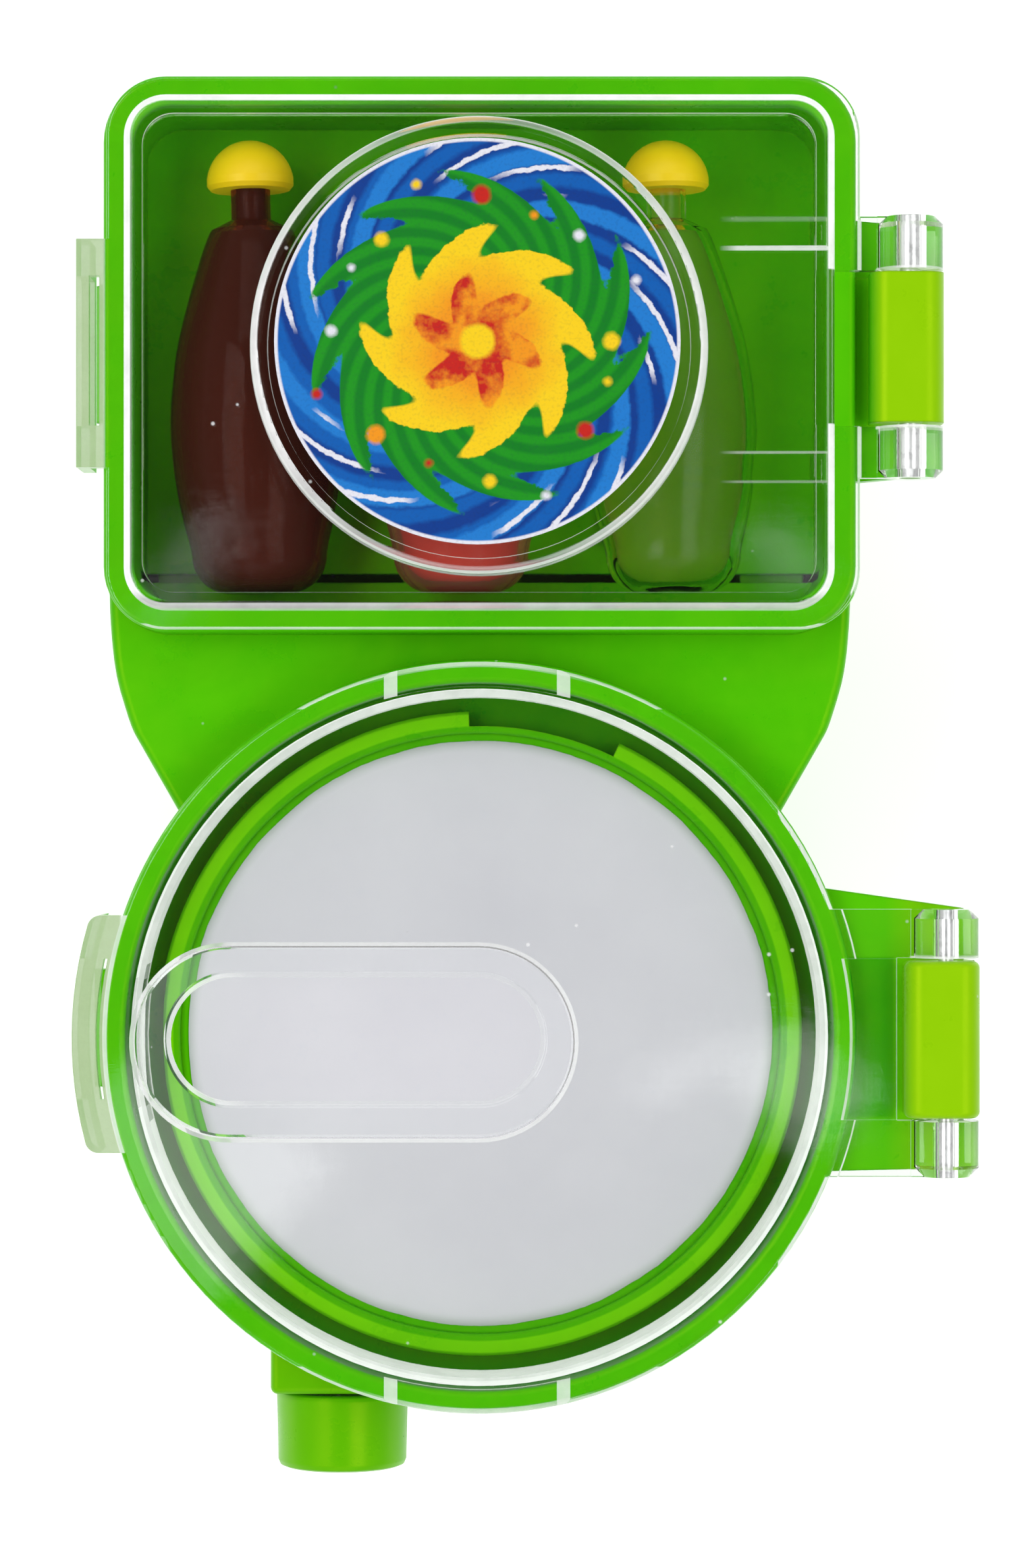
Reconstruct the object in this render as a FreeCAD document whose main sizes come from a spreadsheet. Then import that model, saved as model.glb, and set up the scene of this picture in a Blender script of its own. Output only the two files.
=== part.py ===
import FreeCAD, Part
import Sketcher
import math
import os
from FreeCAD import Vector, Placement, Rotation

# Small hand-cranked spin art machine, millimetres, +Z up.
# Origin: on the flat underside, under the turntable spindle. +Y towards the bottle store,
# +X towards the hinges, the crank is at the front (-Y) left of the spindle.

doc = FreeCAD.newDocument("SpinArtMachine")
sheet = doc.addObject("Spreadsheet::Sheet", "Sizes")

SIZES = [
    # overall levels
    ("cover_top", 2.0, "top of the bottom cover"),
    ("rim_level", 31.8, "case rim, the lids rest on it"),
    ("lid_thick", 1.2, "clear lid wall"),
    ("hinge_level", 32.4, "height of both hinge pins"),
    ("neck_level", 27.8, "top face of the neck"),
    ("cup_under", 24.2, "underside of the chamber floor"),
    ("cup_floor", 25.6, "top of the chamber floor"),
    ("store_under", 19.6, "underside of the store floor"),
    ("store_floor", 21.0, "top of the store floor"),
    # case plan
    ("wall", 1.6, "case wall"),
    ("cup_rad", 25.35, "outer radius of the chamber"),
    ("cup_inner", 23.8, "inner radius of the chamber"),
    ("drum_rad", 25.0, "outer radius of the gear housing"),
    ("front_back", 20.2, "distance of the flat front wall from the spindle"),
    ("store_half", 25.3, "half width of the bottle store"),
    ("store_front", 27.2, "front face of the store"),
    ("store_back", 64.6, "back face of the store"),
    ("store_corner", 4.4, "corner radius of the store"),
    ("store_wall", 2.1, "wall of the store"),
    ("edge_round", 0.5, "rounding of the case edges"),
    # hinges
    ("pin_rad", 0.65, "store hinge pin radius"),
    ("lug_bore", 0.72, "bore of the clear lugs on it"),
    ("round_pin_rad", 0.5, "chamber hinge pin radius"),
    ("round_lug_bore", 0.56, "bore of the clear lugs on it"),
    ("knuckle_rad", 2.2, "hinge barrel radius"),
    ("store_pin_x", 28.9, "store hinge pin position"),
    ("chamber_pin_x", 31.3, "chamber hinge pin position"),
    # storage lid
    ("slid_left", -25.0, "storage lid flange, left"),
    ("slid_right", 25.5, "storage lid flange, right"),
    ("slid_front", 27.35, "storage lid flange, front"),
    ("slid_back", 64.4, "storage lid flange, back"),
    ("raise_half", 23.72, "half width of the raised part"),
    ("raise_front", 28.6, "front of the raised part"),
    ("raise_back", 63.0, "back of the raised part"),
    ("raise_level", 34.6, "top of the raised part"),
    ("boss_rad", 15.3, "round boss radius"),
    ("boss_level", 36.4, "top of the round boss"),
    ("boss_y", 46.1, "round boss centre"),
    ("label_rad", 13.45, "label radius"),
    ("label_thick", 0.1, "label thickness"),
    # round lid
    ("rlid_rad", 25.2, "round lid radius"),
    ("skirt_out", 23.4, "skirt outer radius"),
    ("skirt_in", 22.85, "skirt inner radius"),
    ("step_rad", 25.0, "round lid, edge of the step to the hinge plate"),
    ("skirt_low", 27.9, "lower edge of the skirt"),
    ("slot_left", -16.75, "drip slot, left end centre"),
    ("slot_right", -0.05, "drip slot, right end centre"),
    ("slot_y", -0.3, "drip slot centre line"),
    ("slot_top_rad", 6.5, "drip slot half width at the top"),
    ("slot_low_rad", 4.2, "drip slot half width at the bottom"),
    ("slot_low", 29.2, "lower edge of the drip funnel"),
    ("slot_skin", 0.8, "funnel wall"),
    # turntable
    ("tray_low", 26.0, "turntable underside"),
    ("tray_floor", 26.9, "turntable paper seat"),
    ("tray_rim", 27.5, "turntable rim top"),
    ("tray_rad", 21.95, "turntable radius"),
    ("seat_rad", 20.45, "paper seat radius"),
    ("paper_rad", 20.0, "paper disc radius"),
    ("paper_thick", 0.25, "paper disc thickness"),
    ("spindle_rad", 1.0, "spindle radius"),
    ("spindle_bore", 1.05, "bush bore on the spindle"),
    # crank
    ("crank_x", -9.75, "crank shaft position"),
    ("crank_level", 12.0, "crank shaft height"),
    ("crank_shaft_rad", 1.5, "crank shaft radius"),
    ("crank_shaft_bore", 1.55, "crank bush bore"),
    ("arm_wide", 9.6, "crank arm width"),
    ("arm_thick", 4.7, "crank arm thickness"),
    ("arm_back", 20.6, "crank arm inner face"),
    ("arm_top", 10.8, "crank arm end above the shaft"),
    ("throw", 6.0, "distance from the shaft to the grip"),
    ("grip_rad", 4.6, "grip radius at the arm"),
    ("grip_end_rad", 4.5, "grip radius at the end"),
    ("grip_start", 25.5, "grip inner end"),
    ("grip_long", 5.3, "grip length"),
    ("grip_bore", 1.28, "grip bore"),
    ("grip_pin_rad", 1.2, "grip pin radius"),
    # gear train
    ("spur_module", 0.5, "module of the crank pair"),
    ("crank_teeth", 28, "teeth of the crank gear"),
    ("lay_teeth", 11, "teeth of the layshaft pinion"),
    ("face_module", 0.6, "module of the crown pair"),
    ("crown_teeth", 20, "teeth of the crown gear"),
    ("spindle_teeth", 10, "teeth of the spindle pinion"),
    ("lay_rad", 1.0, "layshaft radius"),
    ("lay_bore", 1.05, "layshaft bearing bore"),
]


class Size:
    """A length with its sheet formula, so that one line of arithmetic gives both."""

    def __init__(self, value, text):
        self.value = float(value)
        self.text = text

    def _join(self, other, sign, swap=False):
        value = other.value if isinstance(other, Size) else float(other)
        text = other.text if isinstance(other, Size) else repr(float(other))
        a, b = (value, self.value) if swap else (self.value, value)
        ta, tb = (text, self.text) if swap else (self.text, text)
        result = {"+": a + b, "-": a - b, "*": a * b, "/": a / b if b else 0.0}[sign]
        return Size(result, "(%s %s %s)" % (ta, sign, tb))

    def __add__(self, o): return self._join(o, "+")
    def __radd__(self, o): return self._join(o, "+", True)
    def __sub__(self, o): return self._join(o, "-")
    def __rsub__(self, o): return self._join(o, "-", True)
    def __mul__(self, o): return self._join(o, "*")
    def __rmul__(self, o): return self._join(o, "*", True)
    def __truediv__(self, o): return self._join(o, "/")
    def __neg__(self): return self._join(-1.0, "*")


class Table:
    pass


S = Table()
for row, (alias, value, note) in enumerate(SIZES, 1):
    sheet.set("A%d" % row, note)
    sheet.set("B%d" % row, str(value))
    sheet.setAlias("B%d" % row, alias)
    setattr(S, alias, Size(value, "Sizes." + alias))
doc.recompute()


def num(q):
    return q.value if isinstance(q, Size) else float(q)


def bind(obj, prop, q):
    if isinstance(q, Size):
        obj.setExpression(prop, q.text)


TURN = {
    "z": Rotation(),
    "y": Rotation(Vector(1, 0, 0), -90),     # local Z becomes +Y
    "x": Rotation(Vector(0, 1, 0), 90),      # local Z becomes +X
    "-y": Rotation(Vector(1, 0, 0), 90),     # local Z becomes -Y
}


def place(obj, at, axis="z"):
    obj.Placement = Placement(Vector(*[num(v) for v in at]), TURN[axis])
    for letter, q in zip("xyz", at):
        bind(obj, "Placement.Base." + letter, q)


def prim(kind, name, at, axis="z", **sizes):
    obj = doc.addObject("Part::" + kind, name)
    for prop, q in sizes.items():
        setattr(obj, prop, num(q))
        bind(obj, prop, q)
    place(obj, at, axis)
    return obj


def box(name, x0, x1, y0, y1, z0, z1):
    return prim("Box", name, (x0, y0, z0), Length=x1 - x0, Width=y1 - y0, Height=z1 - z0)


def cyl(name, at, rad, high, axis="z"):
    return prim("Cylinder", name, at, axis, Radius=rad, Height=high)


def cone(name, at, rad1, rad2, high, axis="z"):
    return prim("Cone", name, at, axis, Radius1=rad1, Radius2=rad2, Height=high)


def fuse(name, parts):
    obj = doc.addObject("Part::MultiFuse", name)
    obj.Shapes = parts
    obj.Refine = True
    return obj


def cut(name, base, tools):
    tool = tools[0] if len(tools) == 1 else fuse(name + "_tools", tools)
    obj = doc.addObject("Part::Cut", name)
    obj.Base = base
    obj.Tool = tool
    obj.Refine = True
    return obj


def common(name, parts):
    obj = doc.addObject("Part::MultiCommon", name)
    obj.Shapes = parts
    obj.Refine = True
    return obj


def round_edges(name, base, rad, test, kind="Fillet"):
    """Rounds every edge of base whose box passes test(box, edge)."""
    doc.recompute()
    picks = []
    for i, e in enumerate(base.Shape.Edges, 1):
        if test(e.BoundBox, e):
            picks.append((i, num(rad), num(rad)))
    obj = doc.addObject("Part::" + kind, name)
    obj.Base = base
    obj.Edges = picks
    doc.recompute()
    return obj


# ---- sketch helpers -------------------------------------------------------

def plane_of(body, role):
    for feature in body.Origin.OriginFeatures:
        if feature.Role == role:
            return feature


def body_of(name):
    b = doc.addObject("PartDesign::Body", name)
    return b


def sketch_on(body, name, role, offset=0.0):
    s = body.newObject("Sketcher::SketchObject", name)
    s.AttachmentSupport = [(plane_of(body, role), "")]
    s.MapMode = "FlatFace"
    s.AttachmentOffset = Placement(Vector(0, 0, num(offset)), Rotation())
    bind(s, "AttachmentOffset.Base.z", offset)
    return s


def add_poly(s, points):
    n = len(points)
    first = s.GeometryCount
    for i in range(n):
        a, b = points[i], points[(i + 1) % n]
        s.addGeometry(Part.LineSegment(Vector(num(a[0]), num(a[1]), 0), Vector(num(b[0]), num(b[1]), 0)))
    for i in range(n):
        s.addConstraint(Sketcher.Constraint("Coincident", first + i, 2, first + (i + 1) % n, 1))
    for i in range(n):
        for word, q in zip(("DistanceX", "DistanceY"), points[i]):
            c = s.addConstraint(Sketcher.Constraint(word, -1, 1, first + i, 1, num(q)))
            bind(s, "Constraints[%d]" % c, q)


def add_circle(s, cx, cy, rad):
    g = s.addGeometry(Part.Circle(Vector(num(cx), num(cy), 0), Vector(0, 0, 1), num(rad)))
    c = s.addConstraint(Sketcher.Constraint("Radius", g, num(rad)))
    bind(s, "Constraints[%d]" % c, rad)
    for word, q in (("DistanceX", cx), ("DistanceY", cy)):
        c = s.addConstraint(Sketcher.Constraint(word, -1, 1, g, 3, num(q)))
        bind(s, "Constraints[%d]" % c, q)


def pad(body, name, sketch, length, reverse=False):
    p = body.newObject("PartDesign::Pad", name)
    p.Profile = sketch
    p.Length = num(length)
    bind(p, "Length", length)
    p.Reversed = reverse
    sketch.Visibility = False
    return p


def pocket(body, name, sketch, length, reverse=False):
    doc.recompute()
    before = body.Shape.Volume
    p = body.newObject("PartDesign::Pocket", name)
    p.Profile = sketch
    p.Length = num(length)
    bind(p, "Length", length)
    p.Reversed = reverse
    doc.recompute()
    if body.Shape.Volume > before - 1e-4:
        p.Reversed = not reverse
        doc.recompute()
    if body.Shape.Volume > before - 1e-4:
        raise RuntimeError("pocket cut nothing: " + name)
    return p


def turned(name, points, at=(0, 0, 0), axis="z"):
    """A lathe part: its half section (radius, height) turned about its own axis."""
    b = body_of(name)
    s = sketch_on(b, name + "_section", "XZ_Plane")
    add_poly(s, points)
    r = b.newObject("PartDesign::Revolution", name + "_turn")
    r.Profile = s
    r.ReferenceAxis = (s, ["V_Axis"])
    r.Angle = 360.0
    place(b, at, axis)
    return b


nodes = []


def node(label, obj):
    obj.Label = label
    nodes.append(obj)
    return obj


def poly_prism(name, points, low, high):
    """A straight prism of a closed outline drawn on the XY plane."""
    b = body_of(name)
    s = sketch_on(b, name + "_outline", "XY_Plane", low)
    add_poly(s, points)
    pad(b, name + "_pad", s, high - low)
    return b


def side_prism(name, points, y0, y1):
    """A straight prism of a closed outline drawn on the XZ plane, from y0 to y1."""
    b = body_of(name)
    s = sketch_on(b, name + "_outline", "XZ_Plane", -1.0 * y1)
    add_poly(s, points)
    pad(b, name + "_pad", s, y1 - y0)
    return b


# ---- upper case -----------------------------------------------------------
NECK_SIDE = [(25.3, 31.6), (25.27, 29.4), (25.1, 26.6), (24.72, 24.0), (24.15, 22.0), (23.5, 20.3)]
NECK_FOOT = (19.9, 14.0)


def neck_block(name, inset, low, high):
    """The neck between store and chamber: curved flanks that end in a straight slant."""
    side = [(x - num(inset), y) for x, y in NECK_SIDE]
    foot = (NECK_FOOT[0] - num(inset) * 0.9, NECK_FOOT[1] + num(inset) * 0.9)
    slant = Vector(foot[0] - side[-1][0], foot[1] - side[-1][1], 0).normalize()
    edges = []
    for sign in (1, -1):
        curve = Part.BSplineCurve()
        curve.interpolate([Vector(sign * x, y, 0) for x, y in side], InitialTangent=Vector(0, -1, 0),
                          FinalTangent=Vector(sign * slant.x, slant.y, 0))
        edges.append(curve.toShape())
        edges.append(Part.LineSegment(Vector(sign * side[-1][0], side[-1][1], 0), Vector(sign * foot[0], foot[1], 0)).toShape())
    edges.append(Part.LineSegment(Vector(foot[0], foot[1], 0), Vector(-foot[0], foot[1], 0)).toShape())
    edges.append(Part.LineSegment(Vector(side[0][0], side[0][1], 0), Vector(-side[0][0], side[0][1], 0)).toShape())
    wire = Part.Wire(Part.__sortEdges__(edges))
    block = Part.Face(wire).extrude(Vector(0, 0, num(high) - num(low)))
    obj = doc.addObject("Part::Feature", name)
    obj.Shape = block
    place(obj, (0, 0, low))
    return obj


def vertical_edges(rad_from_origin=None):
    return lambda bb, e: bb.ZLength > 1 and bb.XLength < 1e-4 and bb.YLength < 1e-4


def outline_store(name, low, high, inset, corner):
    raw = box(name + "_raw", inset - S.store_half, S.store_half - inset, S.store_front + inset if inset else S.store_front,
              S.store_back - inset, low, high)
    return round_edges(name, raw, corner, vertical_edges())


def drum(name, rad, front, low, high):
    c = cyl(name + "_round", (0, 0, low), rad, high - low)
    keep = box(name + "_keep", -40.0, 40.0, -1.0 * front, 40.0, low - 1.0, high + 1.0)
    return common(name, [c, keep])


store_out = outline_store("store_out", S.cover_top, S.rim_level, 0.0, S.store_corner)
neck_raw = neck_block("neck_raw", 0.0, S.cover_top, S.neck_level)
neck_out = round_edges("neck_out", neck_raw, 0.55,
                       lambda bb, e: bb.ZLength < 1e-4 and bb.ZMax > S.neck_level.value - 0.01
                       and bb.YLength > 1.0 and abs(bb.XMax + bb.XMin) > 1.0)
drum_out = drum("drum_out", S.drum_rad, S.front_back, S.cover_top, S.cup_under + 0.5)
cup_out_raw = cone("cup_out_raw", (0, 0, S.cup_under), S.cup_rad + 0.15, S.cup_rad, S.rim_level - S.cup_under)
cup_out = round_edges("cup_out", cup_out_raw, 0.4,
                      lambda bb, e: bb.ZLength < 1e-4 and bb.XLength > 40 and bb.ZMin < S.cup_under.value + 0.01)

# hinge barrels on the right wall, with the plates that carry them
store_web = side_prism("store_web", [(24.6, 21.5), (24.6, 30.1), (27.0, 30.1), (27.3, 31.0), (30.9, 31.6),
                                     (30.2, 29.6), (28.2, 26.4), (26.0, 23.0)], 41.15, 51.2)
store_shelf = poly_prism("store_shelf", [(24.0, 37.3), (30.3, 37.9), (30.3, 54.6), (24.0, 55.2)], 27.9, 29.7)
store_knuckle_bar = box("store_knuckle_bar", S.store_pin_x - 2.75, S.store_pin_x + S.knuckle_rad, 41.15, 51.2,
                        S.hinge_level - S.knuckle_rad, S.hinge_level + 1.9)
store_knuckle = round_edges("store_knuckle", store_knuckle_bar, 1.3, lambda bb, e: bb.YLength > 9)
shelf = poly_prism("chamber_shelf", [(21.5, -9.2), (32.75, -8.95), (32.75, 8.6), (21.5, 10.2)], 27.7, 29.85)
shelf_rib = side_prism("shelf_rib", [(24.3, 20.5), (24.3, 28.5), (32.3, 28.5), (32.0, 27.4)], -1.1, 0.9)
chamber_web = side_prism("chamber_web", [(24.6, 28.5), (24.6, 29.85), (29.2, 29.85), (29.4, 31.4), (33.3, 31.6),
                                         (32.75, 29.6), (32.6, 28.5)], -5.35, 5.15)
chamber_knuckle_bar = box("chamber_knuckle_bar", S.chamber_pin_x - 2.85, S.chamber_pin_x + S.knuckle_rad, -5.35, 5.15,
                          S.hinge_level - S.knuckle_rad, S.hinge_level + 1.9)
chamber_knuckle_long = round_edges("chamber_knuckle_long", chamber_knuckle_bar, 1.3, lambda bb, e: bb.YLength > 9)
chamber_knuckle = round_edges("chamber_knuckle", chamber_knuckle_long, 0.45,
                              lambda bb, e: bb.YLength < 1e-4)

# latch catches on the left wall, under the clear loops
catch_round = side_prism("catch_round", [(-24.6, 28.4), (-24.6, 30.9), (-25.5, 30.9), (-26.0, 30.0), (-26.0, 29.3)],
                         -3.4, 4.5)
catch_store = side_prism("catch_store", [(-24.6, 28.4), (-24.6, 30.9), (-25.3, 30.9), (-25.9, 30.0), (-25.9, 29.3)],
                         41.4, 50.65)

case_solid = fuse("case_solid", [store_out, neck_out, drum_out, cup_out, store_web, store_shelf, store_knuckle, shelf, shelf_rib,
                                 chamber_web, chamber_knuckle, catch_round, catch_store])

# hollows
store_room_raw = box("store_room_raw", S.store_wall - S.store_half, S.store_half - S.store_wall,
                     S.store_front + S.store_wall, S.store_back - S.store_wall, S.store_floor, S.rim_level + 2.0)
store_room = round_edges("store_room", store_room_raw, 2.6, vertical_edges())
store_below = outline_store("store_below", S.cover_top - 1.0, S.store_under, S.wall, 2.8)
neck_room = neck_block("neck_room", S.wall + 0.1, S.cover_top - 1.0, S.neck_level - S.wall)
neck_cap = box("neck_cap", -24.0, 24.0, S.store_front, 31.0, S.store_under, S.neck_level)
neck_hollow = cut("neck_hollow", neck_room, [neck_cap])
drum_room = drum("drum_room", S.drum_rad - S.wall, S.front_back - S.wall, S.cover_top - 1.0, S.cup_under)
cup_room = cyl("cup_room", (0, 0, S.cup_floor), S.cup_inner, 12.0)
case_open = cut("case_open", case_solid, [store_room, store_below, neck_hollow, drum_room, cup_room])
cup_shell_out = cyl("cup_shell_out", (0, 0, S.cup_under), S.cup_rad - 0.1, S.rim_level - S.cup_under)
cup_shell_in = cyl("cup_shell_in", (0, 0, S.cup_floor), S.cup_inner, 12.0)
cup_shell = cut("cup_shell", cup_shell_out, [cup_shell_in])

# posts and bosses inside
COVER_POSTS = [(-20.3, 59.6), (20.3, 59.6), (-20.3, 31.4), (20.3, 31.4), (-17.6, 9.4), (17.6, -12.0)]
FRAME_POSTS = [(-12.5, 4.0), (12.5, 4.0), (12.5, -7.0)]
bosses = []
for i, (px, py) in enumerate(COVER_POSTS):
    top = S.store_under + 0.4 if py > 25 else S.cup_under + 0.4
    bosses.append(cyl("cover_post_%d" % i, (px, py, S.cover_top), 2.2, top - S.cover_top))
for i, (px, py) in enumerate(FRAME_POSTS):
    bosses.append(cyl("frame_post_%d" % i, (px, py, 4.9), 2.2, S.cup_under + 0.4 - 4.9))
bosses.append(cyl("crank_boss", (S.crank_x, 0.2 - S.front_back, S.crank_level), 3.4, 4.6, "y"))
bosses.append(cyl("lay_boss", (0, 0.6 - S.front_back, S.crank_level), 2.4, 3.6, "y"))
bosses.append(cyl("spindle_boss", (0, 0, 21.6), 3.4, S.cup_floor - 21.6 - 0.2))
holes = []
for i, (px, py) in enumerate(COVER_POSTS):
    holes.append(cyl("cover_post_hole_%d" % i, (px, py, S.cover_top - 0.5), 1.0, 8.5))
for i, (px, py) in enumerate(FRAME_POSTS):
    holes.append(cyl("frame_post_hole_%d" % i, (px, py, 4.0), 1.0, 7.0))
holes.append(cyl("crank_hole", (S.crank_x, -1.0 - S.front_back, S.crank_level), 2.2, 8.0, "y"))
holes.append(cyl("lay_hole", (0, 1.4 - S.front_back, S.crank_level), S.lay_bore, 4.0, "y"))
holes.append(cyl("spindle_hole", (0, 0, 20.0), 2.0, 7.0))
holes.append(cyl("store_knuckle_hole", (S.store_pin_x, 38.0, S.hinge_level), S.pin_rad + 0.01, 16.0, "y"))
holes.append(cyl("chamber_knuckle_hole", (S.chamber_pin_x, -8.0, S.hinge_level), S.round_pin_rad + 0.01, 16.0, "y"))
# rails on the store floor that keep the bottles from rolling
rails = []
for i, bx in enumerate((-15.1, -1.3, 13.1)):
    for j, rx in enumerate((bx - 4.0, bx + 4.0)):
        rails.append(box("rail_%d_%d" % (i, j), rx - 0.4, rx + 0.4, 33.5, 37.5, S.store_floor - 0.2, S.store_floor + 1.3))
case_full = fuse("case_full", [case_open, cup_shell] + bosses + rails)
upper_case = cut("upper_case_cut", case_full, holes)
upper_case = round_edges("upper_case_round", upper_case, 0.4,
                         lambda bb, e: bb.ZLength < 1e-3 and abs(bb.ZMin - S.rim_level.value) < 1e-3
                         and (bb.XLength > 6 or bb.YLength > 6 or (bb.XLength > 1.5 and bb.YLength > 1.5))
                         and bb.XMax < 26.0 and bb.XMin > -26.0)
node("upper_case", upper_case)

# ---- bottom cover ---------------------------------------------------------
cover_store = outline_store("cover_store", 0.0, S.cover_top, 0.0, S.store_corner)
cover_neck = neck_block("cover_neck", 0.0, 0.0, S.cover_top)
cover_drum = drum("cover_drum", S.drum_rad, S.front_back, 0.0, S.cover_top)
cover_flat = fuse("cover_flat", [cover_store, cover_neck, cover_drum])
lips = []
for i, (ax, bx, ay, by) in enumerate(((-12, 12, 61.9, 62.85), (22.6, 23.55, 37, 55), (-23.55, -22.6, 37, 55),
                                      (-8.0, 8.0, -18.45, -17.6))):
    lips.append(box("lip_%d" % i, float(ax), float(bx), float(ay), float(by), S.cover_top - 0.2, S.cover_top + 1.3))
cover_with_lips = fuse("cover_with_lips", [cover_flat] + lips)
cover_holes = []
for i, (px, py) in enumerate(COVER_POSTS):
    cover_holes.append(cyl("cover_hole_%d" % i, (px, py, -1.0), 1.1, 5.0))
    cover_holes.append(cyl("cover_sink_%d" % i, (px, py, -1.0), 2.1, 2.1))
node("bottom_cover", cut("bottom_cover_cut", cover_with_lips, cover_holes))


def screw(name, at, axis, head_rad, head_high, rad, long):
    """Pan head screw with a cross slot: head from 0 to head_high, shank beyond it."""
    head = cyl(name + "_head", at, head_rad, head_high, axis)
    return head, rad, long


def screw_solid(name, px, py, z0, head_rad, head_high, rad, long):
    s = [(0.0, z0), (head_rad * 0.75, z0), (head_rad, z0 + head_high * 0.5), (head_rad, z0 + head_high),
         (rad, z0 + head_high), (rad, z0 + head_high + long - 0.8), (0.0, z0 + head_high + long)]
    b = turned(name + "_turned", s, (px, py, 0))
    slot_a = box(name + "_slot_a", px - head_rad * 0.6, px + head_rad * 0.6, py - 0.2, py + 0.2, z0 - 0.5, z0 + 0.45)
    slot_b = box(name + "_slot_b", px - 0.2, px + 0.2, py - head_rad * 0.6, py + head_rad * 0.6, z0 - 0.5, z0 + 0.45)
    return cut(name, b, [slot_a, slot_b])


def group(label, parts):
    obj = doc.addObject("Part::Compound", label + "_group")
    obj.Links = parts
    return node(label, obj)


group("cover_screws", [screw_solid("cover_screw_%d" % i, px, py, 0.15, 1.9, 0.93, 0.97, 7.0)
                       for i, (px, py) in enumerate(COVER_POSTS)])
group("frame_screws", [screw_solid("frame_screw_%d" % i, px, py, 2.35, 1.9, 0.93, 0.97, 6.5)
                       for i, (px, py) in enumerate(FRAME_POSTS)])

# ---- gear frame -----------------------------------------------------------
frame_plate = box("frame_plate", -13.5, 5.0, -9.6, -7.8, 3.3, 19.0)
frame_foot = box("frame_foot", -15.2, 15.2, -9.6, 6.6, 3.3, 4.9)
frame_boss = cyl("frame_boss", (0, 0, 3.3), 2.2, 3.4)
frame_gusset = side_prism("frame_gusset", [(4.9, 4.5), (4.9, 12.0), (9.5, 4.5)], -9.6, -8.2)
frame_rough = fuse("frame_rough", [frame_plate, frame_foot, frame_boss, frame_gusset])
frame_holes = [cyl("frame_crank_hole", (S.crank_x, -11.0, S.crank_level), S.crank_shaft_bore, 5.0, "y"),
               cyl("frame_lay_hole", (0, -11.0, S.crank_level), S.lay_bore, 5.0, "y"),
               cyl("frame_spindle_hole", (0, 0, 4.2), S.spindle_bore, 5.0)]
for i, (px, py) in enumerate(FRAME_POSTS):
    frame_holes.append(cyl("frame_screw_hole_%d" % i, (px, py, 2.0), 1.1, 5.0))
node("gear_frame", cut("gear_frame_cut", frame_rough, frame_holes))

# ---- bushes, washer, clips, pins ------------------------------------------
crank_bush = body_of("crank_bush")
s = sketch_on(crank_bush, "crank_bush_ring", "XZ_Plane", S.front_back)
add_circle(s, S.crank_x, S.crank_level, 2.2)
add_circle(s, S.crank_x, S.crank_level, S.crank_shaft_bore)
pad(crank_bush, "crank_bush_pad", s, 5.0, True)
node("crank_bush", crank_bush)

node("spindle_bush", turned("spindle_bush", [(S.spindle_bore, 21.6), (2.0, 21.6), (2.0, 25.6), (S.spindle_bore, 25.6)]))
node("thrust_washer", turned("thrust_washer", [(S.spindle_bore, 25.6), (3.2, 25.6), (3.2, 25.97), (S.spindle_bore, 25.97)]))


def clip_ring(name, label, at, axis, inner, outer, thick):
    ring = cyl(name + "_disc", at, outer, thick, axis)
    b = cyl(name + "_bore", (at[0], at[1], at[2]) if axis == "z" else at, inner, thick, axis)
    gap_w = inner * 0.9
    if axis == "z":
        gap = box(name + "_gap", num(at[0]) - gap_w, num(at[0]) + gap_w, num(at[1]), num(at[1]) + outer + 1.0,
                  num(at[2]) - 0.5, num(at[2]) + thick + 0.5)
    else:
        gap = box(name + "_gap", num(at[0]) - gap_w, num(at[0]) + gap_w, num(at[1]) - 0.5, num(at[1]) + thick + 0.5,
                  num(at[2]), num(at[2]) + outer + 1.0)
    return node(label, cut(name, ring, [b, gap]))


clip_ring("spindle_clip_ring", "spindle_clip", (0, 0, 20.95), "z", 1.0, 2.2, 0.45)
clip_ring("crank_clip_ring", "crank_clip", (S.crank_x, -7.6, S.crank_level), "y", 1.5, 2.9, 0.5)


def pin_body(label, x, y0, long, z, rad):
    """A plain steel pin along Y with chamfered ends."""
    return node(label, turned(label, [(0, 0), (rad - 0.12, 0), (rad, 0.12), (rad, long - 0.12), (rad - 0.12, long), (0, long)],
                              (x, y0, z), "y"))


pin_body("storage_hinge_pin", S.store_pin_x, 37.7, 17.1, S.hinge_level, S.pin_rad)
pin_body("round_hinge_pin", S.chamber_pin_x, -9.1, 17.5, S.hinge_level, S.round_pin_rad)

# ---- spindle and turntable ------------------------------------------------
node("spindle", turned("spindle", [(0, 4.35), (0.7, 4.35), (S.spindle_rad, 4.65), (S.spindle_rad, 26.7), (0, 26.7)]))

turntable = turned("turntable_blank", [(S.spindle_rad, S.tray_low), (S.tray_rad - 0.3, S.tray_low), (S.tray_rad, S.tray_low + 0.3),
                                       (S.tray_rad, S.tray_rim - 0.2), (S.tray_rad - 0.2, S.tray_rim),
                                       (S.seat_rad + 0.15, S.tray_rim), (S.seat_rad, S.tray_rim - 0.15),
                                       (S.seat_rad, S.tray_floor), (S.spindle_rad, S.tray_floor)])
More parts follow.
